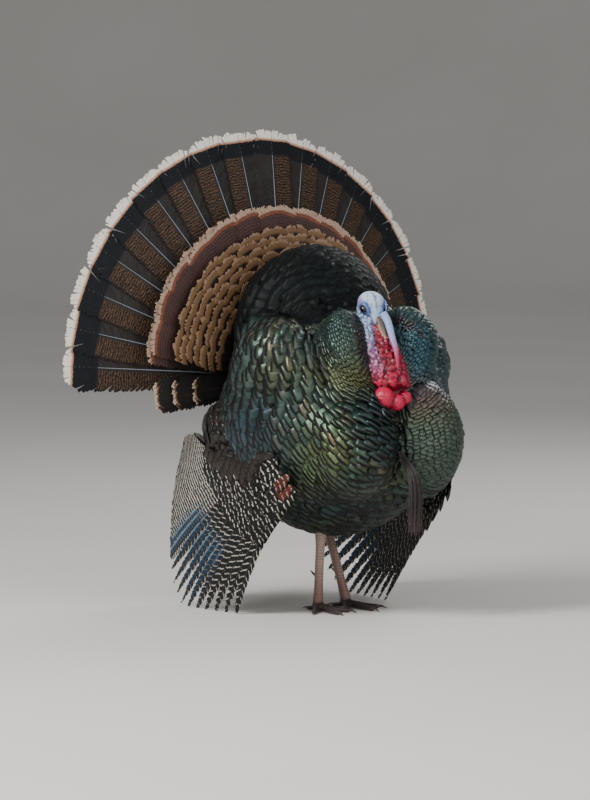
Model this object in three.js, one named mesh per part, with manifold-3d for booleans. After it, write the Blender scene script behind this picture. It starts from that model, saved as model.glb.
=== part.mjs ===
// A wild turkey gobbler standing in full strut, life size, as a still model.
//
// Millimetres, +Z up. The bird faces -Y, its left side is +X, and it stands on the floor z = 0. The
// group is shifted at the end so that the origin lies on the floor under the middle of the whole bird.
//
// The trunk and the head are smooth unions of a few ellipsoid masses, read along rays from one centre.
// Neck, legs, toes, bill and snood are round bars bent along curves, and every quill feather is a flat
// lens bent along its shaft. Neighbours are parted by cutting one with a slightly grown copy of the other.

import * as THREE from "three";
import { mergeVertices } from "three/addons/utils/BufferGeometryUtils.js";
import Module from "manifold-3d";

const wasm = await Module();
wasm.setup();

// ---------------------------------------------------------------- driving dimensions

const GAP = 0.4; // left between neighbouring pieces
const BLEND = 26; // how softly the masses of the trunk run into each other

// Masses of the feathered trunk. A pair stands mirrored at +x and -x.
const TRUNK_CENTRE = [0, 5, 385];
const TRUNK_MASSES = [
  { at: [0, 25, 335], r: [204, 205, 195] }, // barrel
  { at: [0, 25, 238], r: [128, 140, 102] }, // belly and thighs
  { at: [0, 88, 478], r: [152, 108, 158] }, // raised feathers of the lower back
  { at: [0, 150, 400], r: [120, 90, 110] }, // rump under the tail root
  { at: [128, 4, 422], r: [62, 98, 96], pair: true }, // shoulders
  { at: [62, -100, 446], r: [48, 64, 80], pair: true }, // ruff round the neck
  { at: [72, -130, 305], r: [70, 80, 100], pair: true }, // breast lobes
];

// Head, in its own frame: origin between the eyes, bill towards -Y, crown up.
const HEAD = { at: [-12, -107, 545], pitch: 51, yaw: -4, roll: -3 };
const HEAD_CENTRE = [0, -2, -4];
const HEAD_BLEND = 8;
const HEAD_MASSES = [
  { at: [0, -1, -1], r: [25, 23, 18] }, // cranium
  { at: [0, -24, -5], r: [13.5, 24, 13] }, // face
  { at: [0, -6, -15], r: [21, 25, 14] }, // cheeks
];
const EYE = { at: [19.5, -13, 2], r: 6.4 };
const BILL = { from: 36, tip: 83, base: 10.5, drop: 9 };

const NECK_RADIUS = 26;
const NECK_AXIS = [
  [-12, -98, 540],
  [-13, -110, 502],
  [-12, -124, 462],
  [-7, -140, 425],
  [0, -148, 388],
  [0, -128, 352],
];
const THROAT = { from: [0, -22, -14], path: [[-11, -137, 483], [-9, -154, 448], [-7, -170, 404]] };
const SNOOD = {
  from: [[3, -34, 9], [5, -48, 9]],
  path: [[-8, -160, 488], [-5, -171, 468], [-3, -179, 450], [0, -184, 436]],
  width: 8.6,
};

const CARUNCLES = {
  right: { at: [-32, -175, 385], r: 19.5 },
  middle: { at: [-10, -183, 377], r: 14.5 },
  left: { at: [8, -180, 384], r: 12.5 },
};

const TAIL = {
  apex: [0, 185, 402], // where all shafts meet
  turn: 6, // degrees that the whole fan is swung round, the bird's right side forwards
};
const FAN = { count: 18, spread: 183, lean: 12, inner: 60, length: 443, thick: 3, notch: 13 };
const CHESTNUT_COVERTS = { count: 13, spread: 158, lean: 6.5, inner: 60, length: 304, thick: 5, notch: 12 };
const BUFF_COVERTS = { count: 11, spread: 156, lean: -1, inner: 60, length: 264, thick: 5, notch: 12 };
const UNDERTAIL = { count: 3, from: 92, spread: 19, lean: 14, inner: 90, length: 266, thick: 5, notch: 14 };
const LATERAL_SHORTER = 0.04; // share of its length by which the outermost quill of a fan is shorter

// A wing has one row of quills, numbered by a share from the leading primary inwards. Those before the
// first share are primaries.
const WING = { primaries: 8, secondaries: 6, primaryShare: 0.56, thick: 3.4, bulge: 12, sweep: 26 };
// How far each wing's tips are moved from their even place: the left wing is held closer.
const WING_SHIFT = { right: [0, 0, 0], left: [-20, 48, 0] };
const WING_TIPS = [
  [178, 50, -8],
  [186, 140, -8],
  [187, 226, -5],
  [176, 282, 42],
  [164, 308, 120],
  [150, 314, 205],
  [138, 300, 285],
];
const WING_ROOTS = [
  [168, -66, 190],
  [174, -56, 222],
  [180, -18, 246],
  [186, 40, 262],
  [176, 120, 290],
];
const WING_COVERTS = { at: [184, 86, 258], r: [11, 122, 62], tilt: 10 };

const FEET = {
  right: { x: -36, y: 24, hock: [-37, 14, 152], turn: 6 },
  left: { x: 36, y: 45, hock: [37, 112, 150], turn: -4 },
};
const TARSUS_RADIUS = 8.2;
const TARSUS_FOOT = 15; // height at which the shank meets the foot
const ANKLE = { r: 11, height: 9.2 };
const TOES = [
  { name: "middle", turn: 0, length: 78, r: 6.6 },
  { name: "inner", turn: 34, length: 58, r: 6 },
  { name: "outer", turn: -34, length: 60, r: 6 },
  { name: "hind", turn: 172, length: 30, r: 4.8 },
];
const CLAW_LENGTH = 17;
const SPUR = { share: 0.34, length: 27, r: 4.6 };

const BEARD = { root: [0, -176, 292], knee: [6, -212, 245], tip: [14, -203, 150], width: 17, depth: 8 };

// ---------------------------------------------------------------- solids from three.js geometry

// The closed manifold-3d solid of a three.js geometry.
function solid(geometry) {
  const bare = geometry.index ? geometry.toNonIndexed() : geometry.clone();
  bare.deleteAttribute("normal");
  bare.deleteAttribute("uv");
  const merged = mergeVertices(bare, 1e-3);
  return new wasm.Manifold(
    new wasm.Mesh({
      numProp: 3,
      vertProperties: merged.attributes.position.array,
      triVerts: new Uint32Array(merged.index.array),
    }),
  );
}

const mix = (a, b, t) => a.map((v, i) => v + (b[i] - v) * t);

const union = (solids) => solids.reduce((a, b) => a.add(b));

// The largest body of what is left of a solid once the others are taken out of it.
function parted(kept, ...others) {
  const left = others.reduce((a, b) => a.subtract(b), kept);
  return left.decompose().reduce((a, b) => (b.volume() > a.volume() ? b : a));
}

// Moves every vertex of a geometry by a function of its place.
function moved(geometry, place) {
  const positions = geometry.attributes.position;
  const p = new THREE.Vector3();
  for (let i = 0; i < positions.count; i++) {
    p.fromBufferAttribute(positions, i);
    place(p);
    positions.setXYZ(i, p.x, p.y, p.z);
  }
  return geometry;
}

// Distance to an ellipsoid, near enough for blending.
function toEllipsoid(p, { at, r }) {
  const q = [(p.x - at[0]) / r[0], (p.y - at[1]) / r[1], (p.z - at[2]) / r[2]];
  const k0 = Math.hypot(...q);
  const k1 = Math.hypot(q[0] / r[0], q[1] / r[1], q[2] / r[2]);
  return k1 < 1e-9 ? -Math.min(...r) : (k0 * (k0 - 1)) / k1;
}

const mirrored = ({ at, r }) => ({ at: [-at[0], at[1], at[2]], r });

// Signed distance to the smooth union of all masses.
function toMasses(p, masses, blend) {
  let d = Infinity;
  for (const mass of masses.flatMap((m) => (m.pair ? [m, mirrored(m)] : [m]))) {
    const e = toEllipsoid(p, mass);
    const h = d === Infinity ? 0 : Math.max(blend - Math.abs(d - e), 0) / blend;
    d = Math.min(d, e) - (h * h * blend) / 4;
  }
  return d;
}

// How far the surface of the masses lies from a centre, along one direction.
function reach(centre, direction, masses, blend, farthest) {
  const p = new THREE.Vector3();
  const at = (t) => toMasses(p.copy(direction).multiplyScalar(t).add(centre), masses, blend);
  const step = farthest / 60;
  let out = farthest;
  while (out > step && at(out - step) > 0) out -= step;
  let inside = out - step;
  for (let i = 0; i < 18; i++) {
    const middle = (inside + out) / 2;
    if (at(middle) > 0) out = middle;
    else inside = middle;
  }
  return (inside + out) / 2;
}

// A ball with its vertices pushed out to the surface of the masses, and a little further if grown.
function massBody(centreAt, masses, blend, farthest, [around, down], grow = 0) {
  const centre = new THREE.Vector3(...centreAt);
  const ball = new THREE.SphereGeometry(1, around, down);
  return moved(ball, (p) => {
    const direction = p.clone().normalize();
    p.copy(direction).multiplyScalar(reach(centre, direction, masses, blend, farthest) + grow).add(centre);
  });
}

const curveThrough = (points) => new THREE.CatmullRomCurve3(points.map((p) => new THREE.Vector3(...p)));

// A bar bent along a curve. size(t) gives half its width and half its depth, and wide is the direction
// of its width. Its cross section has the given number of sides, and pace spaces its steps.
function bar(curve, size, { sides = 12, steps = 10, wide = [1, 0, 0], pace = (s) => s } = {}) {
  const across = new THREE.Vector3(...wide);
  const rod = new THREE.CylinderGeometry(1, 1, 1, sides, steps);
  return moved(rod, (p) => {
    const t = pace(THREE.MathUtils.clamp(0.5 - p.y, 0, 1));
    const tangent = curve.getTangentAt(t);
    const depth = new THREE.Vector3().crossVectors(tangent, across).normalize();
    const width = new THREE.Vector3().crossVectors(depth, tangent).normalize();
    const [w, d] = size(t);
    p.copy(curve.getPointAt(t).addScaledVector(width, -p.x * w).addScaledVector(depth, -p.z * d));
  });
}

// A row of quill feathers side by side, as one sheet. place(u, t) gives the point at share u across the
// row and share t from the roots to the tips. Each quill is crowned along its shaft and ends in a round
// tip, and notch is how deep the row is cut between two tips.
function quillRow({ count, place, length, thick, notch, steps = 3, grow = 0 }) {
  const facets = 3; // across each quill
  const crown = thick * 0.45;
  const sheet = new THREE.BoxGeometry(1, 1, 1, count * facets, steps, 1);
  const column = 1 / (count * facets);
  const nudge = 1e-3;
  return moved(sheet, (p) => {
    const edge = Math.round((p.x + 0.5) / column) % facets === 0;
    const even = 1 - (0.5 - p.y) ** 2; // the steps are closer together towards the tips
    const u = p.x + 0.5 + (p.x * 2 * grow) / length;
    const t = even * (edge ? 1 - notch / length : 1) + (grow / length) * (even > 0.5 ? 1 : -1);
    const here = place(u, t);
    const alongRow = place(u + nudge, t).sub(here);
    const alongQuill = place(u, t + nudge).sub(here);
    const out = new THREE.Vector3().crossVectors(alongRow, alongQuill).normalize();
    const lift = (edge ? 0 : crown) + Math.sign(p.z) * (thick / 2 + grow);
    p.copy(here.addScaledVector(out, lift));
  });
}

const floorBox = () => solid(new THREE.BoxGeometry(2000, 2000, 200).translate(0, 0, -100));

// ---------------------------------------------------------------- trunk, neck and head

const trunkSolid = (grow = 0) =>
  solid(massBody(TRUNK_CENTRE, TRUNK_MASSES, BLEND, 420, [27, 19], grow));

const headFrame = new THREE.Matrix4().compose(
  new THREE.Vector3(...HEAD.at),
  new THREE.Quaternion().setFromEuler(
    new THREE.Euler(
      THREE.MathUtils.degToRad(HEAD.pitch),
      THREE.MathUtils.degToRad(HEAD.roll),
      THREE.MathUtils.degToRad(HEAD.yaw),
      "ZYX",
    ),
  ),
  new THREE.Vector3(1, 1, 1),
);

// A place in the head's own frame, as a place in the bird's.
const onHead = (p) => new THREE.Vector3(...p).applyMatrix4(headFrame).toArray();

function headSolid(grow = 0) {
  const skull = massBody(HEAD_CENTRE, HEAD_MASSES, HEAD_BLEND, 70, [14, 11], grow);
  return solid(skull.applyMatrix4(headFrame));
}

function neckSolid(grow = 0) {
  const swell = (t) => NECK_RADIUS * (0.8 + 0.28 * t) + grow;
  return solid(bar(curveThrough(NECK_AXIS), (t) => [swell(t) * 1.02, swell(t)], { sides: 10, steps: 5 }));
}

function eyeSolid(side, grow = 0) {
  const ball = new THREE.SphereGeometry(EYE.r + grow, 10, 7);
  return solid(ball.translate(side * EYE.at[0], EYE.at[1], EYE.at[2]).applyMatrix4(headFrame));
}

// Upper or lower half of the bill, from inside the face to the tip.
function billSolid(upper, grow = 0) {
  const [lift, share, thin] = upper ? [0, 1, 1] : [-6.2, 0.88, 0.7];
  const length = (BILL.tip - BILL.from) * share;
  const at = (s, drop) => onHead([0, -BILL.from - length * s, lift - BILL.drop * drop]);
  const path = curveThrough([at(-0.2, 0), at(0, 0), at(0.55, 0.3), at(1, upper ? 1 : 0.4)]);
  const taper = (t) => BILL.base * thin * Math.sqrt(Math.max(1 - t * 0.98, 0.015));
  const size = (t) => [taper(t) * 0.8 + grow, taper(t) * 0.6 + grow];
  return solid(bar(path, size, { sides: 8, steps: 6 }));
}

// The fleshy finger that grows from the brow and hangs over the bill.
function snoodSolid(grow = 0) {
  const path = curveThrough([...SNOOD.from.map(onHead), ...SNOOD.path]);
  const size = (t) => {
    const round = Math.sqrt(1 - 0.85 * t ** 10);
    return [SNOOD.width * (1 - 0.2 * t) * round + grow, SNOOD.width * (0.8 - 0.15 * t) * round + grow];
  };
  return solid(bar(path, size, { sides: 8, steps: 8 }));
}

// The soft front of the throat, under the bill and down to the caruncles.
function throatSolid(grow = 0) {
  const path = curveThrough([onHead(THROAT.from), ...THROAT.path]);
  const size = (t) => [12 + 14 * Math.min(t * 1.7, 1) + grow, 9 + 8 * t + grow];
  return solid(bar(path, size, { sides: 8, steps: 5 }));
}

const caruncleSolid = ({ at, r }, grow = 0) =>
  solid(new THREE.SphereGeometry(r + grow, 9, 6).translate(...at));

function beardSolid() {
  const path = curveThrough([BEARD.root, BEARD.knee, BEARD.tip]);
  const size = (t) => {
    const share = 0.3 + 0.7 * Math.sin(Math.PI * Math.min(t * 0.72, 0.62));
    return [BEARD.width * share * (1 - 0.35 * t ** 5), BEARD.depth * share * (1 - 0.4 * t ** 5)];
  };
  return solid(bar(path, size, { sides: 7, steps: 6 }));
}

// ---------------------------------------------------------------- tail

// A row of quills that spread like rays from the tail's apex and lean back from upright.
function fanSolid({ count, from, spread, lean, inner, length, thick, notch }, grow = 0) {
  const back = THREE.MathUtils.degToRad(lean);
  const place = (u, t) => {
    const a = THREE.MathUtils.degToRad((from ?? -spread / 2) + spread * u);
    const shorter = from === undefined ? 1 - LATERAL_SHORTER * Math.abs(2 * u - 1) ** 3 : 1;
    const r = inner + (length * shorter - inner) * t;
    const ray = new THREE.Vector3(Math.sin(a) * Math.cos(back), Math.sin(back), Math.cos(a) * Math.cos(back));
    ray.applyAxisAngle(new THREE.Vector3(0, 0, 1), THREE.MathUtils.degToRad(TAIL.turn));
    return ray.multiplyScalar(r).add(new THREE.Vector3(...TAIL.apex));
  };
  return solid(quillRow({ count, place, length, thick, notch, steps: 1, grow }));
}

const tailSolid = (grow = 0) => fanSolid(FAN, grow);
const covertsSolid = (grow = 0) => fanSolid(CHESTNUT_COVERTS, grow).add(fanSolid(BUFF_COVERTS, grow));

function undertailSolid(side) {
  const { from, spread } = UNDERTAIL;
  return fanSolid({ ...UNDERTAIL, from: side > 0 ? from : -from - spread });
}

// ---------------------------------------------------------------- wings

const SIDES = { right: -1, left: 1 };
const wingTips = curveThrough(WING_TIPS);
const wingRoots = curveThrough(WING_ROOTS);

// The point on a wing's sheet of quills: share u from the leading primary inwards, share t to the tips.
function onWing(name, u, t) {
  const side = SIDES[name];
  const shift = new THREE.Vector3(...WING_SHIFT[name]);
  const row = THREE.MathUtils.clamp(u, 0, 1);
  const root = wingRoots.getPoint(row);
  const tip = wingTips.getPoint(row).addScaledVector(shift, 1 - 0.8 * row);
  const bend = root.clone().lerp(tip, 0.52);
  bend.add(new THREE.Vector3(WING.bulge, WING.sweep * (1 - row), WING.bulge));
  const point = new THREE.QuadraticBezierCurve3(root, bend, tip).getPoint(t);
  return point.setX(side * point.x);
}

// The quills of one wing from share u0 to share u1.
function quillsSolid(name, count, [u0, u1], notch, grow) {
  const flip = SIDES[name] < 0;
  const place = (u, t) => onWing(name, u0 + (u1 - u0) * (flip ? 1 - u : u), t);
  return solid(quillRow({ count, place, length: 240, thick: WING.thick, notch, grow }));
}

// The rounded shield of small feathers over the roots of a wing's quills.
function wingCovertsSolid(name, grow) {
  const { at, r, tilt } = WING_COVERTS;
  const ball = new THREE.SphereGeometry(1, 14, 6);
  ball.scale(r[0] + grow, r[1] + grow, r[2] + grow).rotateX(THREE.MathUtils.degToRad(tilt));
  return solid(ball.translate(SIDES[name] * at[0], at[1], at[2]));
}

function wingSolid(name, grow = 0) {
  const secondaries = quillsSolid(name, WING.secondaries, [WING.primaryShare, 1], 10, grow);
  return wingCovertsSolid(name, grow).add(secondaries);
}

const primariesSolid = (name) => quillsSolid(name, WING.primaries, [0, WING.primaryShare], 27, 0);

// ---------------------------------------------------------------- legs

function shankSolid({ x, y, hock }, grow = 0) {
  const path = curveThrough([
    [hock[0], hock[1] + 6, hock[2] + 34],
    hock,
    mix(hock, [x, y, TARSUS_FOOT], 0.5),
    [x, y, TARSUS_FOOT],
  ]);
  const size = (t) => {
    const joint = 1 + 0.5 * Math.exp(-(((t - 0.22) / 0.13) ** 2)) + 0.22 * Math.exp(-(((t - 1) / 0.1) ** 2));
    return [TARSUS_RADIUS * joint * 0.92 + grow, TARSUS_RADIUS * joint + grow];
  };
  return solid(bar(path, size, { sides: 10, steps: 9 }));
}

// The way a toe points, on the floor.
function toeWay(foot, toe) {
  const a = THREE.MathUtils.degToRad(foot.turn + toe.turn);
  return [-Math.sin(a), -Math.cos(a)];
}

// A bar along a toe, through points given by their distance from the ankle and their height.
function toeBar(foot, toe, points, size, steps) {
  const [dx, dy] = toeWay(foot, toe);
  const path = curveThrough(points.map(([s, z]) => [foot.x + dx * s, foot.y + dy * s, z]));
  return solid(bar(path, size, { sides: 6, steps, wide: [-dy, dx, 0] })).subtract(floorBox());
}

function toeSolid(foot, toe, grow) {
  const { length, r } = toe;
  const points = [[0, 10], [length * 0.3, r * 1.15], [length * 0.65, r * 0.78], [length, r * 0.62]];
  return toeBar(foot, toe, points, (t) => [r * (1.05 - 0.32 * t) + grow, r * (1 - 0.34 * t) + grow], 3);
}

function footSolid(foot, grow = 0) {
  const ball = new THREE.SphereGeometry(ANKLE.r + grow, 8, 6).translate(foot.x, foot.y, ANKLE.height);
  return union([solid(ball).subtract(floorBox()), ...TOES.map((toe) => toeSolid(foot, toe, grow))]);
}

function clawSolid(foot, toe) {
  const { length, r } = toe;
  const middle = [length + CLAW_LENGTH * 0.45, r * 0.8];
  const points = [[length - 3, r * 0.68], middle, [length + CLAW_LENGTH, 1.2]];
  const taper = (t) => r * 0.52 * (1 - 0.82 * t);
  return toeBar(foot, toe, points, (t) => [taper(t), taper(t)], 2);
}

function spurSolid({ x, y, hock }) {
  const [bx, by, bz] = mix([x, y, TARSUS_FOOT], hock, SPUR.share);
  const path = curveThrough([[bx, by, bz], [bx, by + 14, bz + 1], [bx, by + SPUR.length, bz + 8]]);
  const taper = (t) => SPUR.r * (1 - 0.85 * t);
  return solid(bar(path, (t) => [taper(t), taper(t)], { sides: 6, steps: 3 }));
}

// ---------------------------------------------------------------- the bird

const COLOURS = {
  body: [0x2c3328, 0.45, 0.35],
  head: [0xa9c4dc, 0.6, 0],
  throat: [0xc8323c, 0.5, 0],
  horn: [0xb09a72, 0.4, 0],
  eye: [0x120c08, 0.1, 0],
  beard: [0x4a4038, 0.7, 0],
  tail: [0x4a3426, 0.7, 0],
  coverts: [0xa06a45, 0.7, 0],
  wing: [0x34302c, 0.6, 0.1],
  leg: [0x8a6a60, 0.6, 0],
  claw: [0x3a2c24, 0.45, 0],
};

const bird = new THREE.Group();

function add(name, made, finish) {
  const mesh = made.getMesh();
  const places = new Float32Array(mesh.numVert * 3);
  for (let i = 0; i < mesh.numVert; i++)
    places.set(mesh.vertProperties.subarray(i * mesh.numProp, i * mesh.numProp + 3), i * 3);
  const geometry = new THREE.BufferGeometry()
    .setAttribute("position", new THREE.BufferAttribute(places, 3))
    .setIndex(new THREE.BufferAttribute(mesh.triVerts, 1));
  geometry.computeVertexNormals();
  const [color, roughness, metalness] = COLOURS[finish];
  const node = new THREE.Mesh(geometry, new THREE.MeshStandardMaterial({ color, roughness, metalness }));
  node.name = name;
  bird.add(node);
}

const trunk = trunkSolid();
const trunkGrown = trunkSolid(GAP);
const headGrown = headSolid(GAP);
const eyesGrown = union([1, -1].map((side) => eyeSolid(side, GAP)));
const neckGrown = neckSolid(GAP);
const upperBillGrown = billSolid(true, GAP);
const lowerBillGrown = billSolid(false, GAP);
const throatGrown = throatSolid(GAP);

add("trunk", trunk, "body");
add("head", parted(headSolid(), trunkGrown, eyesGrown), "head");
add("eye_right", eyeSolid(-1), "eye");
add("eye_left", eyeSolid(1), "eye");
add("bill_upper", parted(billSolid(true), headGrown), "horn");
add("bill_lower", parted(billSolid(false), headGrown, upperBillGrown), "horn");
add("neck", parted(neckSolid(), trunkGrown, headGrown, lowerBillGrown), "head");
const bothBills = upperBillGrown.add(lowerBillGrown);
add("throat", parted(throatSolid(), trunkGrown, headGrown, neckGrown, bothBills), "throat");
add("snood", parted(snoodSolid(), trunkGrown, headGrown, neckGrown, throatGrown, bothBills), "throat");

const heldOff = [trunkGrown, neckGrown, throatGrown, snoodSolid(GAP)];
for (const [side, ball] of Object.entries(CARUNCLES)) {
  add("caruncle_" + side, parted(caruncleSolid(ball), ...heldOff), "throat");
  heldOff.push(caruncleSolid(ball, GAP));
}
add("beard", parted(beardSolid(), trunkGrown), "beard");

const tailGrown = tailSolid(GAP);
const covertsGrown = covertsSolid(GAP);
add("tail_fan", parted(tailSolid(), trunkGrown), "tail");
add("tail_coverts", parted(covertsSolid(), trunkGrown, tailGrown), "coverts");

for (const [name, side] of Object.entries(SIDES)) {
  add("wing_" + name, parted(wingSolid(name), trunkGrown), "wing");
  const primaries = primariesSolid(name).subtract(floorBox());
  add("primaries_" + name, parted(primaries, trunkGrown, wingSolid(name, GAP)), "wing");
  add("undertail_" + name, parted(undertailSolid(side), trunkGrown, tailGrown, covertsGrown), "coverts");

  const foot = FEET[name];
  const shankGrown = shankSolid(foot, GAP);
  const footGrown = footSolid(foot, GAP);
  add("leg_" + name, parted(shankSolid(foot), trunkGrown), "leg");
  add("foot_" + name, parted(footSolid(foot), shankGrown), "leg");
  add("spur_" + name, parted(spurSolid(foot), shankGrown), "claw");
  for (const toe of TOES) add(`claw_${name}_${toe.name}`, parted(clawSolid(foot, toe), footGrown), "claw");
}

// The origin goes on the floor, under the middle of the bird.
const box = new THREE.Box3().setFromObject(bird);
const middle = box.getCenter(new THREE.Vector3());
bird.position.set(-middle.x, -middle.y, 0);

export default bird;
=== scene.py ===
"""A wild turkey gobbler in full strut, as a still, life-size museum model.

Sizes inside the classes are in millimetres, in the bird's own frame: it faces -Y, its left is +X and it
stands on z 0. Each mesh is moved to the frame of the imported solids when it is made.
"""

import logging
import math
from dataclasses import dataclass, field
from enum import Enum
from functools import partial
from typing import Any, Callable

import bmesh
import bpy
import numpy as np
from mathutils import Matrix, Vector


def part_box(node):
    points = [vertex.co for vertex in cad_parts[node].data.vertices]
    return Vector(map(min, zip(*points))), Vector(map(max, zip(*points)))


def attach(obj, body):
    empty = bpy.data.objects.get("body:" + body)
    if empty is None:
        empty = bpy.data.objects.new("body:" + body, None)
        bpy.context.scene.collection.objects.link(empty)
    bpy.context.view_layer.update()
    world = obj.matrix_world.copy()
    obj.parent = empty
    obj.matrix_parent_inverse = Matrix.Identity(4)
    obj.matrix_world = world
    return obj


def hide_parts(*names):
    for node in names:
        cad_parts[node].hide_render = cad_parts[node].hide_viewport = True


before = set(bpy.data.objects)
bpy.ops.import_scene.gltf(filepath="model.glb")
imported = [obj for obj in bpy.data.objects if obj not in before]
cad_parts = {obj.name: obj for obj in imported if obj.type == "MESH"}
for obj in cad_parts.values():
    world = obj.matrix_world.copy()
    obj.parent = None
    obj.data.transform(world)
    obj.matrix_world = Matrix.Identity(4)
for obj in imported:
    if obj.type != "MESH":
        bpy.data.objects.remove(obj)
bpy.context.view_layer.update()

logging.basicConfig(level=logging.INFO, format="%(levelname)s %(name)s: %(message)s")
LOG = logging.getLogger("turkey")

MM = 0.001
SEED = 20
Array = np.ndarray


# ---------------------------------------------------------------- numbers


def unit(v: Array) -> Array:
    """Vectors of length one."""
    return v / np.maximum(np.linalg.norm(v, axis=-1, keepdims=True), 1e-12)


def ease(low: float, high: float, x: Array) -> Array:
    """A smooth step from 0 at low to 1 at high; high may be the lower one."""
    t = np.clip((np.asarray(x, float) - low) / (high - low), 0.0, 1.0)
    return t * t * (3.0 - 2.0 * t)


def between(a: Array, b: Array, share: Array) -> Array:
    """Colours or points from a to b, by a share for each."""
    return a + (b - a) * np.asarray(share, float)[..., None]


def linear(colour: str) -> Array:
    """A colour such as "#7a4b2c", as linear red, green and blue."""
    srgb = np.array([int(colour[i : i + 2], 16) / 255 for i in (1, 3, 5)])
    return np.where(srgb <= 0.04045, srgb / 12.92, ((srgb + 0.055) / 1.055) ** 2.4)


def noise(p: Array, seed: int = 0) -> Array:
    """Smooth noise from -1 to 1 at points of any shape (..., 3), with features about 1 across.

    Args:
        p: the points.
        seed: the seed of the lattice.

    Returns:
        The value at each point.
    """
    cell = np.floor(p).astype(np.int64)
    f = p - cell
    f = f * f * (3.0 - 2.0 * f)
    total = np.zeros(p.shape[:-1])
    for dx in (0, 1):
        for dy in (0, 1):
            for dz in (0, 1):
                h = (cell[..., 0] + dx) * 374761393 + (cell[..., 1] + dy) * 668265263
                h = h + (cell[..., 2] + dz) * 1442695041 + seed * 97531
                h = (h ^ (h >> 13)) * 1274126177
                value = ((h ^ (h >> 16)) & 0xFFFF) / 32767.5 - 1.0
                weight = np.ones(p.shape[:-1])
                for k, d in enumerate((dx, dy, dz)):
                    weight = weight * (f[..., k] if d else 1.0 - f[..., k])
                total += weight * value
    return total


class Path:
    """A smooth curve through points, bent just as the solids' own curves are."""

    def __init__(self, points: list) -> None:
        """Fits a cubic to each span, its tangents eased by the distances between the points.

        Args:
            points: the points that it passes through.
        """
        p = np.array(points, float)
        p = np.vstack([2 * p[0] - p[1], p, 2 * p[-1] - p[-2]])
        gap = np.linalg.norm(np.diff(p, axis=0), axis=1) ** 0.5
        self.spans = []
        for i in range(1, len(p) - 2):
            g0, g1, g2 = gap[i - 1], gap[i], gap[i + 1]
            a, b, c, d = p[i - 1], p[i], p[i + 1], p[i + 2]
            out = ((b - a) / g0 - (c - a) / (g0 + g1) + (c - b) / g1) * g1
            into = ((c - b) / g1 - (d - b) / (g1 + g2) + (d - c) / g2) * g1
            self.spans.append((b, out, 3 * (c - b) - 2 * out - into, 2 * (b - c) + out + into))
        self._table = self.at(np.linspace(0, 1, 400))
        self._run = np.concatenate([[0], np.cumsum(np.linalg.norm(np.diff(self._table, axis=0), axis=1))])
        self.length = float(self._run[-1])

    def at(self, t: Array) -> Array:
        """Points at shares of the spans.

        Args:
            t: the shares, from 0 to 1.

        Returns:
            The points (n, 3).
        """
        t = np.atleast_1d(np.asarray(t, float)) * len(self.spans)
        i = np.clip(np.floor(t).astype(int), 0, len(self.spans) - 1)
        w = (t - i)[:, None]
        c = np.array(self.spans)[i]
        return c[:, 0] + w * (c[:, 1] + w * (c[:, 2] + w * c[:, 3]))

    def along(self, t: Array) -> Array:
        """Points at shares of the length; a share past an end runs on straight.

        Args:
            t: the shares, from 0 to 1.

        Returns:
            The points (n, 3).
        """
        s = np.atleast_1d(np.asarray(t, float)) * self.length
        held = np.clip(s, 0, self.length)
        found = np.stack([np.interp(held, self._run, self._table[:, k]) for k in range(3)], axis=1)
        first = unit(self._table[1] - self._table[0])
        last = unit(self._table[-1] - self._table[-2])
        return found + np.minimum(s, 0)[:, None] * first + np.maximum(s - self.length, 0)[:, None] * last

    def gap(self, p: Array) -> Array:
        """How far points are from the line."""
        line = self.along(np.linspace(0, 1, 24))
        return np.linalg.norm(p[:, None, :] - line[None, :, :], axis=-1).min(axis=1)

    def way(self, t: Array) -> Array:
        """Directions of the curve at shares of its length."""
        t = np.atleast_1d(np.asarray(t, float))
        return unit(self.along(t + 0.004) - self.along(t - 0.004))


def turned(v: Array, axis: Array, degrees: Array) -> Array:
    """Vectors turned about unit axes.

    Args:
        v: the vectors.
        axis: the unit axes.
        degrees: how far each one turns.

    Returns:
        The turned vectors.
    """
    a = np.radians(np.asarray(degrees, float))[..., None]
    axis = np.broadcast_to(axis, v.shape)
    dot = (axis * v).sum(-1, keepdims=True)
    return v * np.cos(a) + np.cross(axis, v) * np.sin(a) + axis * dot * (1 - np.cos(a))


# ---------------------------------------------------------------- masses of the body


@dataclass(frozen=True)
class Mass:
    """One rounded mass of the body, a ball stretched to three radii."""

    at: tuple
    r: tuple
    pair: bool = False


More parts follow.
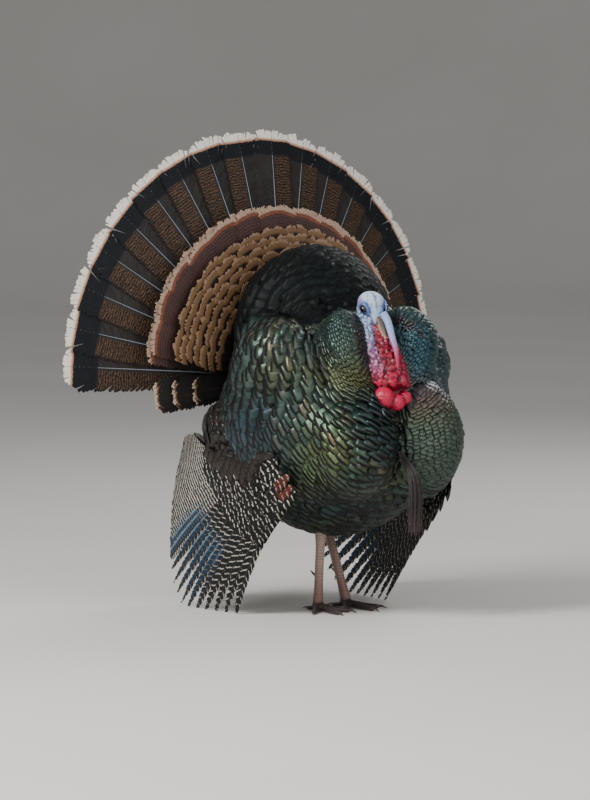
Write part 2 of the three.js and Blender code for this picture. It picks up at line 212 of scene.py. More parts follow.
@dataclass(frozen=True)
class Masses:
    """Rounded masses that flow into one form."""

    centre: tuple
    blend: float
    far: float
    parts: tuple

    def distance(self, p: Array) -> Array:
        """How far points lie outside the form, or below nought inside.

        Args:
            p: the points (n, 3).

        Returns:
            The distances (n).
        """
        d = None
        for mass in self.parts:
            places = [mass.at, (-mass.at[0], mass.at[1], mass.at[2])] if mass.pair else [mass.at]
            for at in places:
                q = (p - np.array(at)) / np.array(mass.r)
                k0 = np.linalg.norm(q, axis=-1)
                k1 = np.linalg.norm(q / np.array(mass.r), axis=-1)
                e = k0 * (k0 - 1.0) / np.maximum(k1, 1e-9)
                if d is None:
                    d = e
                else:
                    h = np.maximum(self.blend - np.abs(d - e), 0.0) / self.blend
                    d = np.minimum(d, e) - h * h * self.blend / 4
        return d

    def reach(self, ways: Array) -> Array:
        """How far the form's surface lies from its centre in each direction.

        Args:
            ways: the unit directions.

        Returns:
            The distance in each direction.
        """
        flat = ways.reshape(-1, 3)
        centre = np.array(self.centre, float)
        step = self.far / 60
        out = np.full(len(flat), float(self.far))
        busy = np.arange(len(flat))
        while len(busy):
            outside = self.distance(centre + flat[busy] * (out[busy] - step)[:, None]) > 0
            busy = busy[outside & (out[busy] > step)]
            out[busy] -= step
        inside = out - step
        for _ in range(14):
            middle = (inside + out) / 2
            outside = self.distance(centre + flat * middle[:, None]) > 0
            out = np.where(outside, middle, out)
            inside = np.where(outside, inside, middle)
        return ((inside + out) / 2).reshape(ways.shape[:-1])

    def surface(self, ways: Array) -> Array:
        """Points of the surface in each direction from the centre."""
        return np.array(self.centre) + ways * self.reach(ways)[..., None]

    def normal(self, p: Array) -> Array:
        """Outward directions at points near the surface."""
        steps = np.eye(3)
        return unit(np.stack([self.distance(p + e) - self.distance(p - e) for e in steps], axis=-1))


TRUNK = Masses(
    (0, 5, 385),
    26,
    420,
    (
        Mass((0, 25, 335), (204, 205, 195)),
        Mass((0, 25, 238), (128, 140, 102)),
        Mass((0, 88, 478), (152, 108, 158)),
        Mass((0, 150, 400), (120, 90, 110)),
        Mass((128, 4, 422), (62, 98, 96), True),
        Mass((62, -100, 446), (48, 64, 80), True),
        Mass((72, -130, 305), (70, 80, 100), True),
    ),
)
HEAD_AT, HEAD_TURN = (-12, -107, 545), (51, -3, -4)
SKULL = Masses(
    (0, -2, -4),
    8,
    70,
    (
        Mass((0, -1, -1), (25, 23, 18)),
        Mass((0, -24, -5), (13.5, 24, 13)),
        Mass((0, -6, -15), (21, 25, 14)),
    ),
)


def head_matrix() -> Matrix:
    """The head's own frame in the bird's: pitch, then roll, then yaw.

    Returns:
        The matrix, in millimetres.
    """
    pitch, roll, yaw = (math.radians(a) for a in HEAD_TURN)
    turn = Matrix.Rotation(yaw, 4, "Z") @ Matrix.Rotation(roll, 4, "Y") @ Matrix.Rotation(pitch, 4, "X")
    return Matrix.Translation(HEAD_AT) @ turn


HEAD = np.array(head_matrix())


def on_head(p: Array) -> Array:
    """Places in the head's own frame, as places in the bird's."""
    return np.asarray(p, float) @ HEAD[:3, :3].T + HEAD[:3, 3]


EYE_AT, EYE_RADIUS = (19.5, -13, 2), 6.4


def find_shift() -> Array:
    """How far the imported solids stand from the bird's own frame, in metres."""
    low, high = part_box("eye_right")
    return np.array((low + high) / 2) - on_head((-EYE_AT[0], EYE_AT[1], EYE_AT[2])) * MM


SHIFT = find_shift() * np.array([1, 1, 0])


# ---------------------------------------------------------------- meshes


class Sheaf:
    """Gathers many small shapes into one mesh, with a patch of the bake map and a few values for each."""

    def __init__(self) -> None:
        """Starts empty."""
        self.points, self.faces, self.vane, self.bake = [], [], [], []
        self.values: dict[str, list] = {}
        self.count = 0

    def add(self, points: Array, faces: list, vane: Array, bake: Array, **values: Array) -> None:
        """Adds one shape.

        Args:
            points: its points (n, 3).
            faces: its faces, as arrays of indices (m, corners).
            vane: each point's place across and along the feather (n, 2), from 0 to 1.
            bake: each point's place on the bake map (n, 2).
            values: named values for its points, one for all or one for each.
        """
        self.points.append(points)
        self.faces += [block + self.count for block in faces]
        self.vane.append(vane)
        self.bake.append(bake)
        for name, value in values.items():
            self.values.setdefault(name, []).append(np.asarray(value, float))
        self.count += len(points)

    def build(self, name: str, smooth: bool = False) -> bpy.types.Object:
        """One object of all that was added.

        Args:
            name: the object's name.
            smooth: whether its faces are shaded smooth.

        Returns:
            The object.
        """
        mesh = bpy.data.meshes.new(name)
        points = np.concatenate(self.points)
        points[:, 2] = np.maximum(points[:, 2], 0.3)
        faces = [row for block in self.faces for row in block.tolist()]
        mesh.from_pydata((points * MM + SHIFT).tolist(), [], faces)
        corner = np.empty(len(mesh.loops), np.int32)
        mesh.loops.foreach_get("vertex_index", corner)
        for layer, block in (("vane", self.vane), ("OFBake", self.bake)):
            uv = mesh.uv_layers.new(name=layer)
            uv.data.foreach_set("uv", np.concatenate(block)[corner].astype(np.float32).ravel())
        for key, block in self.values.items():
            put_values(mesh, key, np.concatenate(block))
        face_out(mesh)
        return finished(mesh, name, smooth)


def face_out(mesh: bpy.types.Mesh) -> None:
    """Turns every closed shape's faces outwards.

    Args:
        mesh: the mesh, which is changed.
    """
    work = bmesh.new()
    work.from_mesh(mesh)
    bmesh.ops.recalc_face_normals(work, faces=work.faces)
    work.to_mesh(mesh)
    work.free()


def bird_mesh(name: str, points: Array, faces: Array) -> bpy.types.Mesh:
    """A mesh in the solids' frame, from points in the bird's own.

    Args:
        name: the mesh's name.
        points: its points (n, 3), in millimetres.
        faces: the indices of each face's corners; one that stands twice counts once.

    Returns:
        The mesh.
    """
    mesh = bpy.data.meshes.new(name)
    rows = [tuple(dict.fromkeys(row)) for row in faces.tolist()]
    mesh.from_pydata((points * MM + SHIFT).tolist(), [], rows)
    return mesh


def put_values(mesh: bpy.types.Mesh, name: str, values: Array) -> None:
    """Stores one value or colour for each point of a mesh.

    Args:
        mesh: the mesh.
        name: the attribute's name.
        values: a number or a colour for each point.
    """
    if values.ndim == 1:
        layer = mesh.attributes.new(name, "FLOAT", "POINT")
        layer.data.foreach_set("value", values.astype(np.float32))
        return
    layer = mesh.attributes.new(name, "FLOAT_COLOR", "POINT")
    full = np.concatenate([values, np.ones((len(values), 1))], axis=1)
    layer.data.foreach_set("color", full.astype(np.float32).ravel())


def finished(mesh: bpy.types.Mesh, name: str, smooth: bool) -> bpy.types.Object:
    """An object for a mesh, in the scene, with its shading set.

    Args:
        mesh: the mesh.
        name: the object's name.
        smooth: whether its faces are shaded smooth.

    Returns:
        The object.
    """
    mesh.update()
    mesh.polygons.foreach_set("use_smooth", np.full(len(mesh.polygons), smooth))
    made = bpy.data.objects.new(name, mesh)
    bpy.context.scene.collection.objects.link(made)
    return made


def dress(piece: bpy.types.Object, finish: bpy.types.Material, slot: str, *nodes: str) -> None:
    """Gives a piece its material, rides it on the body and lets it stand for solids.

    Args:
        piece: the finished object.
        finish: its material.
        slot: not used.
        nodes: the solids that it replaces.
    """
    piece.data.materials.clear()
    piece.data.materials.append(finish)
    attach(piece, "root")
    if nodes:
        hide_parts(*nodes)
    triangles = sum(len(p.vertices) - 2 for p in piece.data.polygons)
    LOG.info("%s: %d triangles", piece.name, triangles)


# ---------------------------------------------------------------- materials


def maths(operation: str) -> tuple:
    """What a sum of one to three numbers needs."""
    return "ShaderNodeMath", (0, 1, 2), 0, {"operation": operation}


def mixing(way: str) -> tuple:
    """What a mix of two colours by a share needs."""
    return "ShaderNodeMix", (0, 6, 7), 2, {"data_type": "RGBA", "blend_type": way}


class Do(Enum):
    """What a node does: its type, the sockets that values go to in turn, the output read and its settings."""

    ADD = maths("ADD")
    SUBTRACT = maths("SUBTRACT")
    MULTIPLY = maths("MULTIPLY")
    MULTIPLY_ADD = maths("MULTIPLY_ADD")
    POWER = maths("POWER")
    ABSOLUTE = maths("ABSOLUTE")
    SINE = maths("SINE")
    FRACT = maths("FRACT")
    BLEND = mixing("MIX")
    DARKEN = mixing("MULTIPLY")
    OVERLAY = mixing("OVERLAY")
    STEP = ("ShaderNodeMapRange", (0, 1, 2), 0, {"interpolation_type": "SMOOTHSTEP", "clamp": True})
    READ = ("ShaderNodeAttribute", (), "Fac", {})
    READ_COLOUR = ("ShaderNodeAttribute", (), "Color", {})
    VANE = ("ShaderNodeUVMap", (), 0, {"uv_map": "vane"})
    X = ("ShaderNodeSeparateXYZ", (0,), 0, {})
    Y = ("ShaderNodeSeparateXYZ", (0,), 1, {})
    VECTOR = ("ShaderNodeCombineXYZ", (0, 1, 2), 0, {})
    PLACE = ("ShaderNodeTexCoord", (), "Object", {})
    NOISE = ("ShaderNodeTexNoise", ("Vector", "Scale", "Detail"), 0, {})
    CELLS = ("ShaderNodeTexVoronoi", ("Vector", "Scale"), 0, {})
    BUMP = ("ShaderNodeBump", ("Strength", "Distance", "Height"), 0, {})
    SURFACE = ("ShaderNodeBsdfPrincipled", (), 0, {})
    OUTPUT = ("ShaderNodeOutputMaterial", (0,), 0, {})
    SCALE_VECTOR = ("ShaderNodeVectorMath", (0, 3), 0, {"operation": "SCALE"})
    ADD_VECTOR = ("ShaderNodeVectorMath", (0, 1), 0, {})
    STORED = ("GeometryNodeInputNamedAttribute", ("Name",), 0, {})
    SHAPE = ("GeometryNodeObjectInfo", (0,), "Geometry", {})
    INSTANCES = (
        "GeometryNodeInstanceOnPoints",
        ("Points", "Instance", "Pick Instance", "Instance Index", "Rotation", "Scale"),
        0,
        {},
    )
    REALIZE = ("GeometryNodeRealizeInstances", ("Geometry",), 0, {})
    STORE_CORNER_UV = (
        "GeometryNodeStoreNamedAttribute",
        ("Geometry", "Name", "Value"),
        0,
        {"data_type": "FLOAT2", "domain": "CORNER"},
    )
    SET_MATERIAL = ("GeometryNodeSetMaterial", ("Geometry", "Material"), 0, {})


class Nodes:
    """Fills one node tree."""

    def __init__(self, tree: bpy.types.NodeTree) -> None:
        """Starts with the tree empty."""
        self.tree = tree
        tree.nodes.clear()

    def add(self, what: Do, *values: Any, named: dict | None = None, **settings: Any) -> bpy.types.NodeSocket:
        """Adds a node, with its settings and links.

        Args:
            what: what it does.
            values: a value, a "#rrggbb" colour or another node's output for each of its sockets in turn.
            named: the same for sockets given by name.
            settings: the node's own settings, beyond those that it always has.

        Returns:
            The output that is read, or None where it has none.
        """
        kind, sockets, out, fixed = what.value
        node = self.tree.nodes.new(kind)
        for key, value in (fixed | settings).items():
            setattr(node, key, value)
        for key, value in [*zip(sockets, values), *(named or {}).items()]:
            socket = node.inputs[key]
            if isinstance(value, bpy.types.NodeSocket):
                self.tree.links.new(value, socket)
            elif isinstance(value, str) and value.startswith("#"):
                socket.default_value = (*linear(value), 1)
            else:
                socket.default_value = value
        return node.outputs[out] if len(node.outputs) else None


class Shades(Nodes):
    """Builds one material."""

    def __init__(self, name: str) -> None:
        """Starts with no nodes.

        Args:
            name: the material's name.
        """
        self.material = bpy.data.materials.new(name)
        self.material.use_nodes = True
        super().__init__(self.material.node_tree)

    def vane(self) -> tuple:
        """Where a point is on its feather: across from 0 to 1, and along from root to tip."""
        uv = self.add(Do.VANE)
        return self.add(Do.X, uv), self.add(Do.Y, uv)

    def finish(self, sockets: dict) -> bpy.types.Material:
        """Ends in the surface shader."""
        self.add(Do.OUTPUT, self.add(Do.SURFACE, named=sockets))
        return self.material


# ---------------------------------------------------------------- the lie of the feathers


class Lie:
    """Lines that feathers follow over the trunk, from the neck to the tail's root.

    They run between two poles as field lines do. A row of feathers crosses them all at the same number of
    steps from the neck, so rows stay evenly spaced however far the body swells.
    """

    def __init__(self, trunk: Masses, front: tuple, back: tuple, lines: int = 240, steps: int = 230) -> None:
        """Finds the surface along every line.

        Args:
            trunk: the form that the lines run over.
            front: the direction of the pole at the neck.
            back: the direction of the pole at the tail's root.
            lines: how many lines there are.
            steps: how many points each line has.
        """
        f, b = unit(np.array(front, float)), unit(np.array(back, float))
        e1 = unit(b - (b @ f) * f)
        e2 = np.cross(f, e1)
        pole = math.tan(math.acos(float(b @ f)) / 2)
        turn = (np.arange(lines) + 0.5) / lines * 2 * math.pi
        run = np.linspace(-3.4, 3.2, steps)
        w = np.exp(run)[None, :] * np.exp(1j * turn)[:, None]
        z = w * pole / (1 + w)
        size = np.abs(z)[..., None] ** 2
        ways = 2 * z.real[..., None] * e1 + 2 * z.imag[..., None] * e2 + (1 - size) * f
        self.points = trunk.surface(ways / (1 + size))
        self.normals = trunk.normal(self.points)
        along = np.gradient(self.points, axis=1)
        self.flow = unit(along - (along * self.normals).sum(-1, keepdims=True) * self.normals)
        self.turn, self.lines, self.steps = turn, lines, steps
        run = np.linalg.norm(along, axis=-1)
        self.curve = (np.gradient(self.normals, axis=1) * self.flow).sum(-1, keepdims=True) / run[..., None]

    def rows(self, step: Array, width: Array, rng: np.random.Generator) -> dict:
        """Places feathers in rows, each shifted half a feather from the last.

        Args:
            step: the wanted distance between rows at each grid point.
            width: the wanted distance between feathers of a row at each grid point.
            rng: where the small irregularities come from.

        Returns:
            Point, normal and flow of each feather's tip, and its place on the bake map.
        """
        gap = np.linalg.norm(np.diff(self.points, axis=1), axis=-1)
        mean = (step[:, 1:] + step[:, :-1]) / 2
        count = np.concatenate([np.zeros((self.lines, 1)), np.cumsum(gap / mean, axis=1)], axis=1)
        found = {"point": [], "normal": [], "flow": [], "curve": [], "bake": []}
        ids = np.arange(self.lines)
        for row in range(int(count.max())):
            place = np.array([np.interp(row + 0.5, count[i], np.arange(self.steps)) for i in ids])
            there = count[:, -1] > row + 0.5
            low = np.clip(place.astype(int), 0, self.steps - 2)
            share = (place - low)[:, None]
            line = {k: v[ids, low] * (1 - share) + v[ids, low + 1] * share for k, v in self.grids().items()}
            wide = width[ids, low]
            ahead = np.roll(ids, -1)
            reach = np.linalg.norm(line["point"][ahead] - line["point"], axis=1) / wide
            reach = np.where(there & there[ahead], reach, 0.0)
            run = np.concatenate([[0], np.cumsum(reach)])
            total = int(run[-1])
            if total < 1:
                continue
            at = (np.arange(total) + 0.5 * (row % 2) + rng.uniform(-0.08, 0.08, total)) % total
            at = at * run[-1] / total
            spot = np.interp(at, run, np.arange(self.lines + 1)) % self.lines
            i = spot.astype(int) % self.lines
            j, w = (i + 1) % self.lines, (spot - spot.astype(int))[:, None]
            keep = there[i] & there[j]
            for key in ("point", "normal", "flow", "curve"):
                found[key].append((line[key][i] * (1 - w) + line[key][j] * w)[keep])
            found["bake"].append(np.stack([spot / self.lines, place[i] / self.steps], axis=1)[keep])
        made = {key: np.concatenate(block) for key, block in found.items()}
        made["normal"], made["flow"] = unit(made["normal"]), unit(made["flow"])
        return made

    def grids(self) -> dict:
        """The grids that a row is read from."""
        return {"point": self.points, "normal": self.normals, "flow": self.flow, "curve": self.curve}


# ---------------------------------------------------------------- small feathers, scattered


@dataclass(frozen=True)
class Plate:
    """The one shape that small body feathers are scattered from: a crowned vane with a blunt tip."""

    columns: int = 4
    rows: int = 6
    crown: float = 0.10
    bend: float = 0.16
    thick: float = 0.02
    square: float = 4.0
    notch: tuple = (0.0, 0.0, 0.0, 0.0, 0.0)

    def build(self, name: str) -> bpy.types.Object:
        """A closed mesh one across and one long, with its place on the vane as UV.

        Args:
            name: the object's name.

        Returns:
            The object, hidden from the render.
        """
        a = np.linspace(-1, 1, self.columns + 1)
        b = np.linspace(0, 1, self.rows + 1) ** 0.8
        wide = 0.3 + 0.7 * ease(0, 0.5, b)
        tip = 1 - 0.1 * np.abs(a) ** self.square - np.array(self.notch)
        x = 0.5 * a[None, :] * wide[:, None]
        y = b[:, None] * tip[None, :]
        z = -self.crown * (2 * x) ** 2 - self.bend * y**2
        top = np.stack([x, y, z], axis=-1)
        low = top.copy()
        low[..., 2] -= self.thick * (1 - a[None, :] ** 2) * (1 - b[:, None] ** 4)
        middle = self.columns // 2
        grid = np.arange(top[..., 0].size).reshape(top.shape[:2])
        under = grid.size + np.arange(self.rows)
        faces = []
        for r in range(self.rows):
            for c in range(self.columns):
                faces.append((grid[r, c], grid[r, c + 1], grid[r + 1, c + 1], grid[r + 1, c]))
        for r in range(self.rows - 1):
            faces.append((grid[r, 0], grid[r + 1, 0], under[r + 1], under[r]))
            faces.append((under[r], under[r + 1], grid[r + 1, -1], grid[r, -1]))
        last = self.rows - 1
        rim = [grid[last, 0], *grid[-1, :], grid[last, -1]]
        faces += [(under[last], rim[k], rim[k + 1]) for k in range(len(rim) - 1)]
        faces += [(under[0], grid[0, c + 1], grid[0, c]) for c in range(self.columns)]
        points = np.concatenate([top.reshape(-1, 3), low[: self.rows, middle]])
        mesh = bpy.data.meshes.new(name)
        mesh.from_pydata(points.tolist(), [], [tuple(int(k) for k in f) for f in faces])
        uv = mesh.uv_layers.new(name="vane")
        corner = np.empty(len(mesh.loops), np.int32)
        mesh.loops.foreach_get("vertex_index", corner)
        flat = np.stack([points[:, 0] + 0.5, points[:, 1]], axis=1)
        uv.data.foreach_set("uv", flat[corner].astype(np.float32).ravel())
        made = finished(mesh, name, True)
        made.hide_render = True
        return made


class Scatter:
    """Sets feathers on a cloud of points with geometry nodes, and turns them into one plain mesh."""

    PATCH = 0.003

    def __init__(self) -> None:
        """Makes the shapes and the node tree, once for all pieces."""
        wear = ((0, 0, 0, 0, 0), (0, 0.05, 0, 0.01, 0.03), (0.02, 0, 0.01, 0.06, 0))
        self.shapes = [Plate(notch=n).build(f"plate_{k}") for k, n in enumerate(wear)]
        self.tree = bpy.data.node_groups.new("feathers_on_points", "GeometryNodeTree")
        self.nodes = Nodes(self.tree)
        face = self.tree.interface
        face.new_socket("Points", in_out="INPUT", socket_type="NodeSocketGeometry")
        for k in range(len(self.shapes)):
            face.new_socket(f"Shape {k + 1}", in_out="INPUT", socket_type="NodeSocketObject")
        face.new_socket("Finish", in_out="INPUT", socket_type="NodeSocketMaterial")
        face.new_socket("Patch size", in_out="INPUT", socket_type="NodeSocketFloat")
        face.new_socket("Feathers", in_out="OUTPUT", socket_type="NodeSocketGeometry")
        self.fill()

    def fill(self) -> None:
        """Instances a picked shape on each point, realizes it and gives it its bake patch."""
        add = self.nodes.add
        given = self.tree.nodes.new("NodeGroupInput").outputs
        gather = self.tree.nodes.new("GeometryNodeGeometryToInstance")
        for k in reversed(range(len(self.shapes))):
            self.tree.links.new(add(Do.SHAPE, given[f"Shape {k + 1}"]), gather.inputs[0])
        kind = add(Do.STORED, "kind", data_type="INT")
        turn = add(Do.STORED, "turn", data_type="QUATERNION")
        names = ("size", "vane", "bake")
        size, vane, bake = (add(Do.STORED, name, data_type="FLOAT_VECTOR") for name in names)
        placed = add(Do.INSTANCES, given["Points"], gather.outputs[0], True, kind, turn, size)
        place = add(Do.ADD_VECTOR, add(Do.SCALE_VECTOR, vane, given["Patch size"]), bake)
        mapped = add(Do.STORE_CORNER_UV, add(Do.REALIZE, placed), "OFBake", place)
        done = add(Do.SET_MATERIAL, mapped, given["Finish"])
        self.tree.links.new(done, self.tree.nodes.new("NodeGroupOutput").inputs[0])

    def piece(self, name: str, spots: dict, finish: bpy.types.Material) -> bpy.types.Object:
        """One mesh of feathers.

        Args:
            name: the piece's name.
            spots: for each feather its point, across, along and up directions, size (width, length, depth),
                bake place, kind, and any named values or colours.
            finish: its material.

        Returns:
            The finished object.
        """
        cloud = bpy.data.meshes.new(name + "_points")
        count = len(spots["point"])
        cloud.from_pydata((spots["point"] * MM + SHIFT).tolist(), [], [])
        along = unit(spots["along"])
        across = unit(np.cross(along, spots["up"]))
        axes = np.stack([across, along, np.cross(across, along)], axis=-1)
        turns = [tuple(Matrix(m).to_quaternion()) for m in axes.tolist()]
        for key, kind, slot, values in (
            ("turn", "QUATERNION", "value", np.array(turns)),
            ("size", "FLOAT_VECTOR", "vector", spots["size"] * MM),
            ("bake", "FLOAT_VECTOR", "vector", np.hstack([spots["bake"], np.zeros((count, 1))])),
            ("kind", "INT", "value", spots["kind"]),
        ):
            layer = cloud.attributes.new(key, kind, "POINT")
            cast = np.int32 if kind == "INT" else np.float32
            layer.data.foreach_set(slot, np.asarray(values).astype(cast).ravel())
        for key, values in spots["values"].items():
            put_values(cloud, key, values)
        holder = bpy.data.objects.new(name + "_points", cloud)
        bpy.context.scene.collection.objects.link(holder)
        modifier = holder.modifiers.new("feathers", "NODES")
        modifier.node_group = self.tree
        given = {"Finish": finish, "Patch size": self.PATCH}
        given |= {f"Shape {k + 1}": shape for k, shape in enumerate(self.shapes)}
        for item in self.tree.interface.items_tree:
            if item.in_out == "INPUT" and item.name in given:
                modifier[item.identifier] = given[item.name]
        ready = bpy.context.evaluated_depsgraph_get()
        mesh = bpy.data.meshes.new_from_object(
            holder.evaluated_get(ready), preserve_all_data_layers=True, depsgraph=ready
        )
        bpy.data.objects.remove(holder)
        mesh.name = name
        return finished(mesh, name, True)

    def clear(self) -> None:
        """Removes the shapes that the feathers were made from."""
        for shape in self.shapes:
            bpy.data.objects.remove(shape)


# ---------------------------------------------------------------- long feathers, built barb by barb


@dataclass(frozen=True)
class Quill:
    """A long feather: a shaft, and a vane on each side built of bundles of barbs."""

    length: float
    left: float
    right: float
    tip: float = 20.0
    square: float = 3.0
    narrow: float = 0.6
    taper: float = 0.0
    bare: float = 20.0
    barb: float = 3.2
    splay: tuple = (46, 16)
    ragged: float = 2.5
    shaft: float = 2.0
    thick: float = 0.5
    block: float = 0.0
    pieces: int = 4

    def half(self, side: float, y: Array) -> Array:
        """Half the vane's width at a distance from the root.

        Args:
            side: which vane, -1 for the left one or 1 for the right one.
            y: the distances from the root.

        Returns:
            The half widths.
        """
        wide = self.left if side < 0 else self.right
        grown = self.narrow + (1 - self.narrow) * ease(self.bare, self.length * 0.8, y)
        return wide * grown * (1 - self.taper * ease(self.length * 0.55, self.length, y))

    def spread(self, rng: np.random.Generator) -> tuple:
        """The barbs of both sides.

        Args:
            rng: where the irregularities come from.

        Returns:
            Their points (barbs, pieces + 1, 3), directions in the vane's plane and half widths.
        """
        lines, ways, halves = [], [], []
        for side in (-1, 1):
            y, roots, leans = self.bare, [], []
            while y < self.length - 1.5:
                folded = ease(0.55, 1.0, y / self.length)
                lean = math.radians(self.splay[0] + (self.splay[1] - self.splay[0]) * folded)
                roots.append(y)
                leans.append(lean)
                y += self.barb / max(math.sin(lean), 0.2)
            roots, lean = np.array(roots), np.array(leans) + rng.normal(0, 0.018, len(roots))
            ell = np.linspace(0, 1, 60)[None, :] * self.half(side, roots)[:, None] * 2.6
            x = ell * np.sin(lean)[:, None]
            y = roots[:, None] + ell * np.cos(lean)[:, None] + 0.0012 * ell**2
            wide = self.half(side, y)
            over = self.length - self.tip * (x / wide) ** self.square
            inside = (x < wide) & (y < over)
            stop = np.where(inside.all(1), 59, np.argmin(inside, axis=1))
            reach = ell[np.arange(len(roots)), stop] - rng.exponential(self.ragged, len(roots)) * 0.6
            reach = np.maximum(reach, 1.2)
            end = reach * np.sin(lean)
            group = np.floor(end / max(self.block, 1e-3) + rng.uniform(-0.15, 0.15))
            free = (roots + reach * np.cos(lean) > self.length - 1.6 * self.tip - 6) * (self.block > 0)
            reach = reach + free * rng.normal(0, 1.6, 40)[group.astype(int) % 40]
            pull = free * ((group + 0.5) * self.block - end) * 0.2
            share = np.linspace(0, 1, self.pieces + 1)[None, :]
            cut = reach[:, None] * share
            line = np.stack(
                [
                    side * (cut * np.sin(lean)[:, None] + pull[:, None] * share**5),
                    roots[:, None] + cut * np.cos(lean)[:, None] + 0.0012 * cut**2,
                    np.zeros_like(cut),
                ],
                axis=-1,
            )
            normal = np.stack([-np.cos(lean), side * np.sin(lean)], axis=1) * side
            flat = line[..., :2]
            step = np.diff(flat, axis=0, append=2 * flat[-1:] - flat[-2:-1])
            gap = np.abs((step * normal[:, None]).sum(-1))
            lines.append(line)
            ways.append(normal)
            halves.append(np.clip(gap, self.barb * 0.8, self.barb * 2.2) * 0.66 * (1 - 0.3 * share**6))
        return np.concatenate(lines), np.concatenate(ways), np.concatenate(halves)

    def lay(self, sheaf: Sheaf, place: Callable, patch: tuple, rng: np.random.Generator, **values: float) -> None:
        """Adds the feather to a sheaf.

        Args:
            sheaf: what gathers it.
            place: gives the points of the bird at a place across, along and above the vane.
            patch: the left, bottom, width and height of its patch on the bake map.
            rng: where the irregularities come from.
            values: named values for the whole feather.
        """
        line, way, half = self.spread(rng)
        count, steps = line.shape[:2]
        edge = np.concatenate([way, np.zeros((count, 1))], axis=1)[:, None, :] * half[..., None]
        lift = np.array([0.22, -0.12, -1.0]) * self.thick
        fore, aft, low = line + edge, line - edge, line.copy()
        for block, z in ((fore, lift[0]), (aft, lift[1]), (low, lift[2])):
            block[..., 2] += z + rng.normal(0, 0.05, (count, 1)) * self.thick
        flat = np.stack([fore, aft, low], axis=2)
        k = np.arange(count)[:, None] * steps * 3
        s = np.arange(steps - 1)[None, :] * 3
        base = (k + s).reshape(-1)
        pairs = ((0, 1), (1, 2), (2, 0))
        faces = [np.stack([base + a, base + b, base + 3 + b, base + 3 + a], axis=1) for a, b in pairs]
        first = np.arange(count)[:, None] * steps * 3 + np.arange(3)[None, :]
        faces += [first, first[:, ::-1] + (steps - 1) * 3]
        self.give(sheaf, place, flat.reshape(-1, 3), faces, patch, 0.0, values)
        self.rod(sheaf, place, patch, values)

    def rod(self, sheaf: Sheaf, place: Callable, patch: tuple, values: dict) -> None:
        """Adds the shaft, six-sided and tapering to the tip.

        Args:
            sheaf: what gathers it.
            place: gives the points of the bird, as for the vane.
            patch: the patch on the bake map, as for the vane.
            values: named values for the whole feather.
        """
        sides, steps = 6, 12
        share = np.linspace(0, 1, steps + 1)
        y = share * self.length * 0.985
        r = self.shaft * (1 - 0.86 * share**0.8)
        a = np.arange(sides) / sides * 2 * math.pi
        x = np.cos(a)[None, :] * r[:, None]
        z = np.sin(a)[None, :] * r[:, None] * 0.8 + 0.15 * r[:, None]
        points = np.stack([x, np.broadcast_to(y[:, None], x.shape), z], axis=-1).reshape(-1, 3)
        ring = np.arange(sides)
        faces = []
        for s in range(steps):
            lo, hi = s * sides + ring, s * sides + np.roll(ring, -1)
            faces.append(np.stack([lo, lo + sides, hi + sides, hi], axis=1))
        root = np.array([[0, 1, 2, 3], [0, 3, 4, 5]])
        tip = steps * sides + np.array([[3, 2, 1, 0], [5, 4, 3, 0]])
        self.give(sheaf, place, points, [*faces, root, tip], patch, 1.0, values)

    def give(
        self, sheaf: Sheaf, place: Callable, p: Array, faces: list, patch: tuple, rod: float, values: dict
    ) -> None:
        """Puts points of the feather's own plane in place and adds them.

        Args:
            sheaf: what gathers them.
            place: gives the points of the bird, as for the vane.
            p: the points (n, 3).
            faces: the indices of each face's corners.
            patch: the patch on the bake map, as for the vane.
            rod: 1 for the shaft and 0 for the vane.
            values: named values for the whole feather.
        """
        widest = max(self.left, self.right)
        vane = np.stack([0.5 + 0.5 * p[:, 0] / widest, p[:, 1] / self.length], axis=1)
        bake = np.array(patch[:2]) + np.clip(vane, 0, 1) * np.array(patch[2:])
        named = {key: np.full(len(p), float(v)) for key, v in values.items()}
        sheaf.add(place(p[:, 0], p[:, 1], p[:, 2]), faces, vane, bake, rod=np.full(len(p), rod), **named)


TAIL_VANE = {"square": 4.0, "narrow": 0.5, "barb": 3.0, "ragged": 1.2, "block": 19.0}
COVERT_VANE = {"tip": 12, "square": 2.6, "narrow": 0.7, "bare": 6, "barb": 2.8, "ragged": 2.2, "shaft": 0.8}
TUFT_VANE = {"tip": 18, "square": 2.0, "narrow": 0.8, "bare": 6, "barb": 2.6, "shaft": 0.9}
PRIMARY_VANE = {
    "tip": 44,
    "square": 2.0,
    "narrow": 0.95,
    "taper": 0.52,
    "bare": 18,
    "barb": 2.7,
    "splay": (38, 14),
}
SECONDARY_VANE = {
    "tip": 14,
    "square": 2.4,
    "narrow": 0.8,
    "bare": 12,
    "barb": 2.8,
    "splay": (42, 16),
    "shaft": 1.5,
}


# ---------------------------------------------------------------- feather finishes


